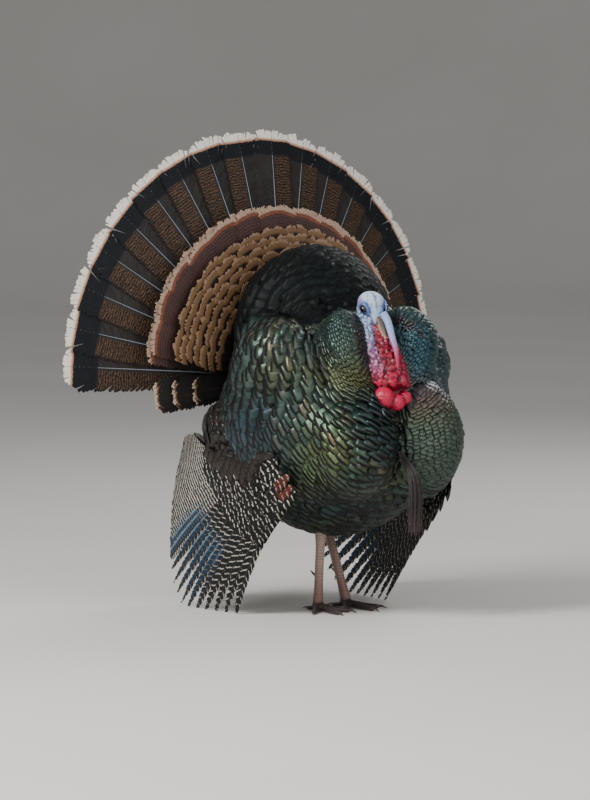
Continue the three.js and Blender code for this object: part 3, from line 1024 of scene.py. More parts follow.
@dataclass(frozen=True)
class BodyFeather:
    """Contour feather: keratin barbs whose barbules shine like bronze, with a velvet black edge.

    The shine shifts from one hue to another along the vane, as a thin film does; the edge is dull.
    The black edge is the feather's own band, and it paints the shade in the gaps between rows as well.
    """

    name: str
    metal: float = 0.55
    rough: float = 0.34
    gloss: float = 0.45
    down: str = "#171412"
    streaks: float = 46.0

    def material(self) -> bpy.types.Material:
        """Its nodes, which read each feather's tint, sheen and edge width.

        Returns:
            The material.
        """
        s = Shades(self.name)
        across, along = s.vane()
        off = s.add(Do.ABSOLUTE, s.add(Do.SUBTRACT, across, 0.5))
        seed = s.add(Do.READ, attribute_name="seed")
        slope = s.add(Do.MULTIPLY_ADD, off, -0.9, along)
        barb = s.add(Do.VECTOR, s.add(Do.MULTIPLY, slope, self.streaks), s.add(Do.MULTIPLY, off, 3.0), seed)
        streak = s.add(Do.NOISE, barb, 1.0, 1.0)
        reach = s.add(Do.ADD, along, s.add(Do.MULTIPLY, s.add(Do.SUBTRACT, streak, 0.5), 0.03))
        names = ("tint", "sheen", "rim")
        tint, sheen, rim = (s.add(Do.READ_COLOUR, attribute_name=name) for name in names)
        shine = s.add(Do.BLEND, s.add(Do.STEP, reach, 0.55, 0.95), tint, sheen)
        dull = s.add(Do.MULTIPLY, s.add(Do.STEP, streak, 0.42, 0.75), 0.5)
        shine = s.add(Do.DARKEN, dull, shine, "#000000")
        coat = s.add(Do.BLEND, s.add(Do.STEP, reach, 0.3, 0.55), self.down, shine)
        lip = s.add(Do.SUBTRACT, s.add(Do.SUBTRACT, 1.0, s.add(Do.READ, attribute_name="edge")), reach)
        corner = s.add(Do.MULTIPLY, s.add(Do.POWER, s.add(Do.MULTIPLY, off, 2.0), 4.0), 0.05)
        dark = s.add(Do.STEP, s.add(Do.SUBTRACT, lip, corner), 0.02, -0.02)
        # the edge: the feather's dark tip band, and painted shade in the gaps between rows
        colour = s.add(Do.BLEND, dark, coat, rim)
        bare = s.add(Do.SUBTRACT, 1.0, dark)
        metal = s.add(Do.MULTIPLY, s.add(Do.MULTIPLY, bare, s.add(Do.STEP, reach, 0.4, 0.6)), self.metal)
        bump = s.add(Do.BUMP, 0.35, 0.0006, streak)
        return s.finish(
            {
                "Base Color": colour,
                "Metallic": metal,
                "Roughness": s.add(Do.MULTIPLY_ADD, dark, 0.2, self.rough),
                "Specular IOR Level": self.gloss,
                "Normal": bump,
            }
        )


# ---------------------------------------------------------------- the coat of the trunk


class Region(Enum):
    """Parts of the trunk whose feathers differ."""

    BREAST = "breast"
    RUFF = "ruff"
    BELLY = "belly"
    FLANK = "flank"
    SHOULDER = "shoulder"
    HUMP = "hump"
    VENT = "vent"
    LOBE = "lobe"


@dataclass(frozen=True)
class Feathering:
    """How a region is feathered: its rows' step, a feather's width, length, root's depth and edge, in mm."""

    step: float
    width: float
    length: float
    sink: float
    edge: float


FEATHERING = {
    Region.BREAST: Feathering(10.5, 27, 46, 12, 4.2),
    Region.RUFF: Feathering(4.2, 7.2, 22, 3.5, 0.45),
    Region.BELLY: Feathering(11, 27, 50, 11, 4.6),
    Region.FLANK: Feathering(9.0, 28, 52, 12, 4.2),
    Region.SHOULDER: Feathering(15, 33, 74, 16, 6.5),
    Region.HUMP: Feathering(7, 34, 60, 7, 5.0),
    Region.VENT: Feathering(13, 20, 48, 10, 5.0),
    Region.LOBE: Feathering(5.4, 10, 28, 4.5, 0.6),
}


@dataclass(frozen=True)
class Mound:
    """A lobe of fluffed feathers: where it swells, how far, and how sharp its edge is."""

    at: tuple
    r: tuple
    lift: float
    soft: float

    def rise(self, p: Array) -> Array:
        """How far the coat stands out at each point."""
        d = np.linalg.norm((p - np.array(self.at)) / np.array(self.r), axis=1)
        return self.lift * ease(1.0, 1.0 - self.soft, d)


MOUNDS = (
    Mound((-50, -112, 462), (66, 80, 84), 10, 0.22),
    Mound((74, -85, 478), (50, 80, 80), 10, 0.25),
    Mound((-62, -180, 322), (56, 70, 80), 7, 0.3),
    Mound((66, -165, 312), (66, 80, 98), 8, 0.22),
    Mound((-150, 10, 440), (80, 116, 66), 7, 0.35),
    Mound((150, 10, 440), (80, 116, 66), 7, 0.35),
)


NECK_FOLD = Path([(-34, -120, 510), (-47, -144, 480), (-42, -156, 444), (-27, -166, 408)])


@dataclass(frozen=True)
class Wash:
    """A soft patch of other hues over the coat: its middle, its reach, its hues and its strength."""

    at: tuple
    r: tuple
    tint: str
    sheen: str
    strength: float = 1.0

    def over(self, p: Array, tint: Array, sheen: Array) -> tuple:
        """The hues with the patch laid over them."""
        share = self.strength * np.exp(-np.sum(((p - np.array(self.at)) / np.array(self.r)) ** 2, axis=1))
        return between(tint, linear(self.tint), share), between(sheen, linear(self.sheen), share)


WASHES = (
    Wash((50, -190, 300), (60, 80, 80), "#323f3a", "#576658", 0.95),
    Wash((-140, -125, 285), (44, 64, 74), "#33472f", "#69784a", 0.85),
    Wash((40, -180, 388), (60, 60, 30), "#483e42", "#86655f", 0.9),
    Wash((-190, 20, 310), (80, 130, 95), "#1d2a33", "#384954", 0.95),
    Wash((-130, -20, 440), (50, 70, 50), "#2b2f28", "#55573f", 0.85),
    Wash((-165, 60, 440), (60, 60, 70), "#22363f", "#4c6268", 0.9),
    Wash((-58, -185, 318), (42, 75, 82), "#141d29", "#263340", 1.0),
    Wash((140, -110, 320), (44, 90, 120), "#142d4a", "#274c72", 0.97),
    Wash((0, -60, 180), (190, 180, 42), "#0b1518", "#182a2e", 0.95),
    Wash((-75, -125, 505), (90, 70, 44), "#182a30", "#2c464c", 0.97),
    Wash((-85, -130, 470), (30, 60, 60), "#2a3830", "#475648", 0.8),
    Wash((-66, -140, 418), (46, 50, 30), "#4c4e30", "#6f6e46", 0.95),
    Wash((-26, -140, 458), (20, 44, 34), "#503830", "#7a5246", 0.9),
    Wash((62, -110, 450), (50, 80, 70), "#1a3c52", "#336276", 0.98),
    Wash((112, -70, 480), (28, 60, 50), "#2c3c38", "#4a5c52", 0.8),
)


@dataclass
class Coat:
    """The contour feathers over the trunk."""

    front: tuple = (0.0, -0.80, 0.60)
    back: tuple = (0.0, 0.97, 0.10)
    jitter: float = 3.5
    bare: float = 18.0
    spots: dict = field(default_factory=dict)

    def weights(self, p: Array) -> dict:
        """How much each region has of each point.

        Args:
            p: the points.

        Returns:
            The weight at each point, for each region.
        """
        x, y, z = np.abs(p[..., 0]), p[..., 1], p[..., 2]
        swing = x - 0.2 * p[..., 0]
        found = {
            Region.HUMP: 3 * ease(-40, 0, y - 0.5 * p[..., 0]) * ease(482, 528, z + 0.25 * y),
            Region.RUFF: 3 * ease(-10, -50, y) * ease(388, 420, z) * ease(140, 112, swing),
            Region.LOBE: 2.5 * ease(-16, 8, p[..., 0]) * ease(-40, -80, y) * ease(220, 260, z),
            Region.SHOULDER: 2.5 * ease(100, 132, swing) * ease(345, 385, z) * ease(-90, -50, y),
            Region.BELLY: 2 * ease(235, 190, z),
            Region.VENT: 3 * ease(120, 165, y) * ease(400, 330, z),
            Region.FLANK: 1.5 * ease(105, 150, x) * ease(-110, -60, y),
        }
        found[Region.BREAST] = np.full(x.shape, 0.25)
        return found

    def shades(self, p: Array, region: Array, rng: np.random.Generator) -> tuple:
        """Each feather's two hues and its edge's colour.

        Args:
            p: the feathers' places (n, 3).
            region: the name of the region of each.
            rng: where the irregularities come from.

        Returns:
            The tints, the sheens and the edges' colours, (n, 3) each.
        """
        count = len(p)
        drift = noise(p / 60.0, 3)
        fine = noise(p / 26.0, 5) * 0.6 + rng.normal(0, 0.35, count)
        base = np.zeros((count, 3))
        tint = between(base + linear("#1c2e2b"), base + linear("#303826"), ease(-0.4, 0.5, drift))
        sheen = between(base + linear("#40564a"), base + linear("#5f6342"), ease(-0.3, 0.7, drift))
        for wash in WASHES:
            tint, sheen = wash.over(p, tint, sheen)
        calm = np.isin(region, [Region.RUFF.value, Region.LOBE.value])
        stray = np.where(calm, 0.3, 1.0)
        sheen = between(sheen, linear("#7e6546"), ease(0.3, 1.3, fine) * 0.5 * stray)
        sheen = between(sheen, linear("#35535e"), ease(-0.3, -1.3, fine) * 0.5 * stray)
        hump = region == Region.HUMP.value
        tint = between(tint, linear("#06090a"), hump * 0.98)
        sheen = between(sheen, linear("#0d1415"), hump * 0.98)
        light = np.exp(rng.normal(0, 0.2, count) * stray)[:, None]
        # Edge colour: black, or at the ruff and lobe a dark copy of the tint; it is the feathers' dark tip and
        # painted shade in the gaps between rows.
        rim = between(base + linear("#040506"), tint * 0.35, calm * 1.0)
        return tint * light, sheen * light, rim

    def cleft(self, p: Array) -> Array:
        """How deep the parting down the middle of the breast is at points, in millimetres."""
        line = np.exp(-(((p[:, 0] - 2) / 9) ** 2)) * ease(-90, -130, p[:, 1]) * ease(410, 380, p[:, 2])
        return 7 * line * ease(180, 220, p[:, 2])

    def plan(self) -> None:
        """Places every feather, with its size, direction and colours."""
        rng = np.random.default_rng(SEED)
        lie = Lie(TRUNK, self.front, self.back)
        weights = self.weights(lie.points)
        total = sum(weights.values())
        step = sum(w * FEATHERING[r].step for r, w in weights.items()) / total
        width = sum(w * FEATHERING[r].width for r, w in weights.items()) / total
        spots = lie.rows(step, width, rng)
        p = spots["point"]
        count = len(p)
        rise = sum(mound.rise(p) for mound in MOUNDS)
        fold = NECK_FOLD.gap(p)
        rise = rise * ease(self.bare, 44, fold)
        p = p + spots["normal"] * (rise - self.cleft(p))[:, None]
        weights = self.weights(p)
        order = list(weights)
        table = np.stack([weights[r] for r in order], axis=1)
        region = np.array([r.value for r in order])[np.argmax(table, axis=1)]
        share = table / table.sum(1, keepdims=True)
        size = {
            key: share @ np.array([getattr(FEATHERING[r], key) for r in order], float)
            for key in ("step", "width", "length", "sink", "edge")
        }
        along = turned(spots["flow"], spots["normal"], rng.normal(0, self.jitter, count))
        length = size["length"] * rng.uniform(0.93, 1.07, count)
        length = length * np.clip(1 + 30 * np.minimum(spots["curve"][:, 0], 0), 0.5, 1)
        length = length / (1 + 1.6 * np.maximum(length * spots["curve"][:, 0] / 2 - 0.18, 0))
        sag = length * np.clip(length * spots["curve"][:, 0] / 2, 0.05, 0.45)
        lift = rng.normal(0, 0.7, count)
        root = p - along * length[:, None] - spots["normal"] * (sag + size["sink"])[:, None]
        out = TRUNK.distance(root) - rise + size["sink"]
        root = root - TRUNK.normal(root) * np.maximum(out, 0)[:, None]
        way = p - root + spots["normal"] * (sag + lift)[:, None]
        length = np.linalg.norm(way, axis=1)
        way = unit(way)
        up = turned(spots["normal"], along, rng.normal(0, 4, count))
        tint, sheen, rim = self.shades(p, region, rng)
        self.spots = {
            "point": root,
            "along": way,
            "up": up,
            "size": np.stack([size["width"] * 1.42, length, sag / Plate.bend], axis=1),
            "bake": spots["bake"],
            "kind": rng.integers(0, 3, count),
            "values": {
                "tint": tint,
                "sheen": sheen,
                "rim": rim,
                "edge": size["edge"] / length * rng.uniform(0.8, 1.2, count),
                "seed": rng.uniform(0, 50, count),
            },
        }
        self.region = np.where(fold < self.bare, "", region)

    def chosen(self, regions: tuple) -> dict:
        """The feathers of some regions.

        Args:
            regions: the regions.

        Returns:
            Their feathers' places, sizes and values, by name.
        """
        keep = np.isin(self.region, [r.value for r in regions])
        part = {k: v[keep] for k, v in self.spots.items() if k != "values"}
        part["values"] = {k: v[keep] for k, v in self.spots["values"].items()}
        return part

    def build(self, scatter: Scatter) -> None:
        """Makes the pieces of the coat.

        Args:
            scatter: what lays the feathers.
        """
        self.plan()
        finish = BodyFeather("iridescent_contour_feather").material()
        groups = {
            "feathers_breast": (Region.BREAST, Region.LOBE),
            "feathers_ruff": (Region.RUFF,),
            "feathers_belly": (Region.BELLY, Region.VENT),
            "feathers_flanks": (Region.FLANK, Region.SHOULDER),
            "feathers_hump": (Region.HUMP,),
        }
        velvet = BodyFeather("velvet_black_back_feather", metal=0.2, rough=0.55, gloss=0.15).material()
        for name, regions in groups.items():
            part = self.chosen(regions)
            worn = velvet if name == "feathers_hump" else finish
            dress(scatter.piece(name, part, worn), worn, "body_feathers", "trunk")


# ---------------------------------------------------------------- tail


@dataclass(frozen=True)
class Ray:
    """A row of feathers that spread like rays from the tail's root."""

    count: int
    spread: float
    lean: float
    inner: float
    length: float
    first: float | None = None
    apex: tuple = (0, 185, 402)
    turn: float = 6.0
    shorter: float = 0.04

    def angle(self, u: Array) -> Array:
        """The ray's angle from upright, in degrees, at a share of the row."""
        start = -self.spread / 2 if self.first is None else self.first
        return start + self.spread * np.asarray(u, float)

    def frame(self, degrees: float) -> tuple:
        """Outward ray, direction across the row and forward normal at an angle.

        Args:
            degrees: the angle from upright.

        Returns:
            The three unit directions.
        """
        a, back, turn = math.radians(degrees), math.radians(self.lean), math.radians(self.turn)
        ray = np.array([math.sin(a) * math.cos(back), math.sin(back), math.cos(a) * math.cos(back)])
        side = np.array([math.cos(a), 0.0, -math.sin(a)])
        z = np.array([0.0, 0.0, 1.0])
        ray, side = turned(ray, z, np.degrees(turn)), turned(side, z, np.degrees(turn))
        return ray, side, np.cross(side, ray)

    def placer(self, degrees: float, start: float, depth: float, roll: float, arch: float = 0.0) -> Callable:
        """The function that puts a feather's own plane in place.

        Args:
            degrees: its angle in the row.
            start: how far its root is from the apex.
            depth: how far it stands in front of the row's surface.
            roll: how much it rises per millimetre across.
            arch: how far its middle stands forward.

        Returns:
            A function of places across, along and above the feather.
        """
        ray, side, front = self.frame(degrees)
        origin = np.array(self.apex) + ray * start + front * depth

        def place(x: Array, y: Array, z: Array) -> Array:
            """Points of the bird."""
            rise = z + roll * x + arch * np.sin(np.clip(y / 380, 0, 1) * math.pi)
            return origin + x[:, None] * side + y[:, None] * ray + rise[:, None] * front

        return place


@dataclass(frozen=True)
class FanFinish:
    """Tail quill: grey-brown keratin, mottled with black, then a black band and a cream tip."""

    name: str = "mottled_tail_quill"

    def material(self) -> bpy.types.Material:
        """Its nodes, which read the place on the vane and the feather's seed.

        Returns:
            The material.
        """
        s = Shades(self.name)
        across, along = s.vane()
        seed, side = (s.add(Do.READ, attribute_name=name) for name in ("seed", "side"))
        off = s.add(Do.SUBTRACT, across, 0.5)
        outer = s.add(Do.MULTIPLY, off, side)
        rise = s.add(Do.MULTIPLY, along, s.add(Do.READ, attribute_name="reach"))
        place = s.add(Do.VECTOR, s.add(Do.MULTIPLY, off, 80.0), rise, s.add(Do.MULTIPLY, seed, 9.0))
        slope = s.add(Do.MULTIPLY_ADD, s.add(Do.ABSOLUTE, off), -55.0, rise)
        lines = s.add(Do.VECTOR, slope, s.add(Do.MULTIPLY, off, 6.0), seed)
        hair = s.add(Do.NOISE, lines, 0.55, 2.0)
        wobble = s.add(Do.NOISE, place, 0.09, 2.0)
        bars = s.add(Do.SINE, s.add(Do.MULTIPLY_ADD, wobble, 12.0, s.add(Do.MULTIPLY, rise, 1.25)))
        speck = s.add(Do.NOISE, place, 0.55, 2.0)
        mottle = s.add(Do.ADD, bars, s.add(Do.MULTIPLY, s.add(Do.SUBTRACT, speck, 0.5), 5.0))
        fade = s.add(Do.MULTIPLY_ADD, s.add(Do.STEP, rise, 40, 300), 0.6, 0.4)
        patches = s.add(Do.MULTIPLY, s.add(Do.STEP, mottle, -0.2, 1.2), fade)
        brown = s.add(Do.BLEND, patches, "#17110e", "#5c4434")
        brown = s.add(Do.BLEND, s.add(Do.MULTIPLY, s.add(Do.STEP, speck, 0.54, 0.7), 0.35), brown, "#8d6f55")
        plain = s.add(Do.BLEND, s.add(Do.STEP, hair, 0.3, 0.75), "#1d1a19", "#34302e")
        body = s.add(Do.BLEND, s.add(Do.STEP, outer, 0.02, 0.10), plain, brown)
        body = s.add(Do.BLEND, s.add(Do.STEP, outer, 0.42, 0.5), body, "#1b1512")
        rim = s.add(Do.ADD, rise, s.add(Do.MULTIPLY, s.add(Do.SUBTRACT, hair, 0.5), 4.0))
        tip = s.add(Do.SUBTRACT, s.add(Do.READ, attribute_name="reach"), rim)
        start = s.add(Do.ADD, s.add(Do.READ, attribute_name="band"), 20.0)
        band = s.add(Do.STEP, s.add(Do.SUBTRACT, tip, start), 3.0, -3.0)
        black = s.add(Do.BLEND, s.add(Do.STEP, hair, 0.4, 0.8), "#090b10", "#121720")
        colour = s.add(Do.BLEND, band, body, black)
        lips = s.add(Do.BLEND, s.add(Do.STEP, tip, 17.5, 12.0), "#a97c62", "#eae2d6")
        colour = s.add(Do.BLEND, s.add(Do.STEP, tip, 19.5, 18.0), colour, lips)
        shaft = s.add(Do.BLEND, band, "#7d858f", "#1d2129")
        colour = s.add(Do.BLEND, s.add(Do.READ, attribute_name="rod"), colour, shaft)
        bump = s.add(Do.BUMP, 0.3, 0.0008, hair)
        return s.finish({"Base Color": colour, "Specular IOR Level": 0.25, "Roughness": 0.55, "Normal": bump})


@dataclass(frozen=True)
class CovertFinish:
    """Tail covert: a frayed pale tip over bands of warm brown, barred with fine dark arcs.

    Each band is given by how far it ends from the tip, in millimetres, and its colour.
    """

    name: str
    tip: str
    bands: tuple
    bars: float
    bar_width: float = 3.2
    rough: float = 0.6

    def material(self) -> bpy.types.Material:
        """Its nodes.

        Returns:
            The material.
        """
        s = Shades(self.name)
        across, along = s.vane()
        seed, reach = (s.add(Do.READ, attribute_name=name) for name in ("seed", "reach"))
        off = s.add(Do.ABSOLUTE, s.add(Do.SUBTRACT, across, 0.5))
        rise = s.add(Do.MULTIPLY, along, reach)
        slope = s.add(Do.MULTIPLY_ADD, off, -45.0, rise)
        lines = s.add(Do.VECTOR, slope, s.add(Do.MULTIPLY, off, 6.0), seed)
        hair = s.add(Do.NOISE, lines, 0.6, 2.0)
        wave = s.add(Do.VECTOR, s.add(Do.MULTIPLY, across, 6.0), s.add(Do.MULTIPLY, rise, 0.08), seed)
        drift = s.add(Do.NOISE, wave, 1.0, 2.0)
        arch = s.add(Do.MULTIPLY, s.add(Do.MULTIPLY, off, off), -36.0)
        tip = s.add(Do.SUBTRACT, s.add(Do.ADD, reach, arch), rise)
        tip = s.add(Do.MULTIPLY_ADD, s.add(Do.SUBTRACT, hair, 0.5), 6.0, tip)
        colour = self.tip
        for end, shade in self.bands:
            colour = s.add(Do.BLEND, s.add(Do.STEP, tip, end - 1.6, end + 1.6), colour, shade)
        phase = s.add(Do.MULTIPLY_ADD, drift, 5.0, s.add(Do.MULTIPLY, tip, 2 * math.pi / self.bar_width))
        bar = s.add(Do.STEP, s.add(Do.SINE, phase), 0.15, 0.75)
        clear = self.bands[0][0]
        bar = s.add(Do.MULTIPLY, s.add(Do.MULTIPLY, bar, s.add(Do.STEP, tip, clear, clear + 6)), self.bars)
        colour = s.add(Do.BLEND, bar, colour, "#231712")
        colour = s.add(Do.BLEND, s.add(Do.MULTIPLY, s.add(Do.STEP, hair, 0.35, 0.8), 0.25), colour, "#0c0806")
        shaft = s.add(Do.MULTIPLY, s.add(Do.READ, attribute_name="rod"), 0.7)
        colour = s.add(Do.BLEND, shaft, colour, "#4a3a30")
        bump = s.add(Do.BUMP, 0.3, 0.0008, hair)
        return s.finish({"Base Color": colour, "Roughness": self.rough, "Normal": bump})


@dataclass(frozen=True)
class CovertRow:
    """One row of tail coverts: how far its tips reach, its count, its feathers' width and its lean."""

    reach: float
    count: int
    half: float
    lean: float
    spread: float
    show: float = 130.0


@dataclass
class Tail:
    """The fan of tail quills with its rings of coverts and the tuft under its ends."""

    fan: Ray = Ray(18, 183, 12, 60, 443)
    half: float = 41.0
    chestnut: tuple = (
        CovertRow(303, 14, 40, 7.0, 161),
        CovertRow(302, 13, 40, 5.6, 156),
    )
    buff: tuple = (
        CovertRow(266, 14, 31, 1.0, 160, 75),
        CovertRow(253, 15, 29, 0.0, 160, 70),
        CovertRow(240, 14, 29, -1.0, 161, 70),
        CovertRow(227, 15, 27, -2.0, 162, 70),
        CovertRow(213, 14, 26, -3.2, 164, 70),
        CovertRow(199, 14, 24, -4.6, 166, 70),
        CovertRow(184, 13, 23, -6.0, 168, 70),
    )

    def build(self) -> None:
        """Makes the fan, the two rings and the tufts."""
        self.quills()
        warm = CovertFinish(
            "chestnut_covert",
            "#b99c88",
            ((8, "#824a34"), (16, "#4f332f"), (44, "#33231f"), (62, "#171210")),
            0.8,
            5.4,
        )
        pale = CovertFinish(
            "buff_covert",
            "#a1826a",
            ((4, "#80603f"), (12, "#634730"), (15, "#130e0c"), (50, "#0c0a08")),
            0.1,
            2.6,
        )
        self.coverts("coverts_chestnut", self.chestnut, warm)
        self.coverts("coverts_buff", self.buff, pale)
        for side, name in ((-1, "right"), (1, "left")):
            self.tuft(side, name)

    def quills(self) -> None:
        """The eighteen quills of the fan; the middle ones lie in front."""
        rng = np.random.default_rng(SEED + 1)
        sheaf = Sheaf()
        row = self.fan
        start = 62.0
        for i in range(row.count):
            u = (i + 0.5) / row.count
            off = i - (row.count - 1) / 2
            tip = row.length * (1 - row.shorter * abs(2 * u - 1) ** 3)
            reach = tip - start + rng.uniform(-2, 2)
            end = 30 if i in (0, row.count - 1) else 11
            quill = Quill(reach, self.half, self.half, **TAIL_VANE, tip=end)
            roll = 0.006 * np.sign(off)
            place = row.placer(row.angle(u) + rng.normal(0, 0.25), start, 3 - 1.3 * abs(off), roll)
            patch = (i / row.count + 0.002, 0.01, 1 / row.count - 0.004, 0.98)
            side = -1.0 if off < 0 else 1.0
            band = 24.0 + 24.0 * abs(2 * u - 1) ** 1.3
            quill.lay(sheaf, place, patch, rng, seed=rng.uniform(0, 50), side=side, reach=reach, band=band)
        fan = sheaf.build("tail_quills")
        dress(fan, FanFinish().material(), "tail_quills", "tail_fan")

    def coverts(self, name: str, rows: tuple, finish: CovertFinish) -> None:
        """One ring of coverts, in overlapping rows.

        Args:
            name: the piece's name.
            rows: its rows, from the front one back.
            finish: the finish of its feathers.
        """
        rng = np.random.default_rng(SEED + 2 + len(rows))
        sheaf = Sheaf()
        for k, row in enumerate(rows):
            ray = Ray(row.count, row.spread, row.lean, 60, row.reach)
            for i in range(row.count):
                u = (i + 0.5) / row.count
                off = i - (row.count - 1) / 2
                reach = row.show + rng.uniform(-3, 3)
                start = row.reach * (1 - 0.04 * abs(2 * u - 1) ** 3) - row.show
                quill = Quill(reach, row.half, row.half, **COVERT_VANE, block=row.half * 0.42)
                depth = 2.0 - 0.5 * abs(off) + rng.uniform(-0.3, 0.3)
                place = ray.placer(ray.angle(u) + rng.normal(0, 0.5), start, depth, 0.01 * np.sign(off), 5.0)
                patch = (i / row.count + 0.002, (k + 0.02) / len(rows), 0.9 / row.count, 0.94 / len(rows))
                quill.lay(sheaf, place, patch, rng, seed=rng.uniform(0, 50), reach=reach)
        dress(sheaf.build(name), finish.material(), "tail_coverts", "tail_coverts")

    def tuft(self, side: int, name: str) -> None:
        """The feathers that show under one end of the fan.

        Args:
            side: -1 for the bird's right or 1 for its left.
            name: the side's name.
        """
        rng = np.random.default_rng(SEED + 9 + side)
        finish = CovertFinish(
            "black_undertail_covert_" + name,
            "#c9b79e",
            ((5, "#7a5638"), (8, "#0d0c0d"), (26, "#141214")),
            0.3,
            9.0,
        )
        sheaf = Sheaf()
        layers = ((262, 12.5, 4), (232, 10.0, 4), (198, 7.0, 3))
        for k, (reach, lean, count) in enumerate(layers):
            first = 92.0 if side > 0 else -92.0 - 9.5
            ray = Ray(count, 9.5, lean, 90, reach, first=first)
            for i in range(count):
                u = (i + 0.5) / count
                length = 130.0 + rng.uniform(-6, 6)
                quill = Quill(length, 17, 17, **TUFT_VANE)
                place = ray.placer(ray.angle(u), reach - length, 1.5 - abs(i - 1), 0.02 * side, 8.0)
                patch = (i / 4 + 0.005, k / 3 + 0.01, 0.24, 0.31)
                quill.lay(sheaf, place, patch, rng, seed=rng.uniform(0, 50), reach=length)
        made = sheaf.build(f"undertail_{name}_feathers")
        dress(made, finish.material(), "tail_quills", f"undertail_{name}")


# ---------------------------------------------------------------- wings


@dataclass(frozen=True)
class BarredQuill:
    """Flight quill: black-brown keratin crossed by narrow white bars, with a blue sheen to its plain part."""

    name: str
    spacing: float = 14.5
    white: float = 0.10
    slant: float = 30.0
    fade: float = 30.0

    def material(self) -> bpy.types.Material:
        """Its nodes.

        Returns:
            The material.
        """
        s = Shades(self.name)
        across, along = s.vane()
        seed, reach = (s.add(Do.READ, attribute_name=name) for name in ("seed", "reach"))
        off = s.add(Do.SUBTRACT, across, 0.5)
        rise = s.add(Do.MULTIPLY, along, reach)
        wide = s.add(Do.ABSOLUTE, off)
        slope = s.add(Do.MULTIPLY_ADD, wide, -self.slant, rise)
        lines = s.add(Do.VECTOR, slope, s.add(Do.MULTIPLY, off, 5.0), seed)
        hair = s.add(Do.NOISE, lines, 0.55, 2.0)
        blot = s.add(Do.VECTOR, s.add(Do.MULTIPLY, off, 9.0), s.add(Do.MULTIPLY, rise, 0.11), seed)
        coarse = s.add(Do.NOISE, blot, 1.0, 2.0)
        phase = s.add(Do.MULTIPLY_ADD, coarse, 3.2, s.add(Do.MULTIPLY, slope, 2 * math.pi / self.spacing))
        phase = s.add(Do.MULTIPLY_ADD, seed, 3.1, phase)
        bar = s.add(Do.STEP, s.add(Do.SINE, phase), 1 - 2 * self.white - 0.18, 1 - 2 * self.white + 0.3)
        before_tip = s.add(Do.STEP, s.add(Do.SUBTRACT, reach, rise), self.fade * 0.4, self.fade)
        bar = s.add(Do.MULTIPLY, bar, s.add(Do.MULTIPLY, s.add(Do.STEP, wide, 0.035, 0.09), before_tip))
        inner = s.add(Do.MULTIPLY, s.add(Do.STEP, off, 0.02, 0.06), s.add(Do.STEP, along, 0.42, 0.62))
        sheen = s.add(Do.MULTIPLY, inner, s.add(Do.READ, attribute_name="blue"))
        bar = s.add(Do.MULTIPLY, bar, s.add(Do.MULTIPLY_ADD, sheen, -0.85, 1.0))
        dark = s.add(Do.BLEND, s.add(Do.STEP, coarse, 0.3, 0.7), "#08090a", "#131110")
        dark = s.add(Do.BLEND, sheen, dark, "#1c3348")
        # a painted highlight: a pale blue line along the far edge of the blue vane
        dark = s.add(Do.BLEND, s.add(Do.MULTIPLY, sheen, s.add(Do.STEP, off, 0.3, 0.42)), dark, "#728fa8")
        white = s.add(Do.BLEND, s.add(Do.STEP, hair, 0.35, 0.65), "#8d877c", "#d6d0c4")
        colour = s.add(Do.BLEND, bar, dark, white)
        colour = s.add(Do.BLEND, s.add(Do.MULTIPLY, s.add(Do.STEP, hair, 0.4, 0.8), 0.3), colour, "#090a0c")
        colour = s.add(Do.BLEND, s.add(Do.READ, attribute_name="rod"), colour, "#383633")
        bump = s.add(Do.BUMP, 0.3, 0.0006, hair)
        colour = s.add(Do.BLEND, s.add(Do.READ, attribute_name="rust"), colour, "#652a18")
        return s.finish(
            {
                "Base Color": colour,
                "Roughness": 0.5,
                "Specular IOR Level": 0.25,
                "Metallic": s.add(Do.MULTIPLY, sheen, 0.5),
                "Normal": bump,
            }
        )


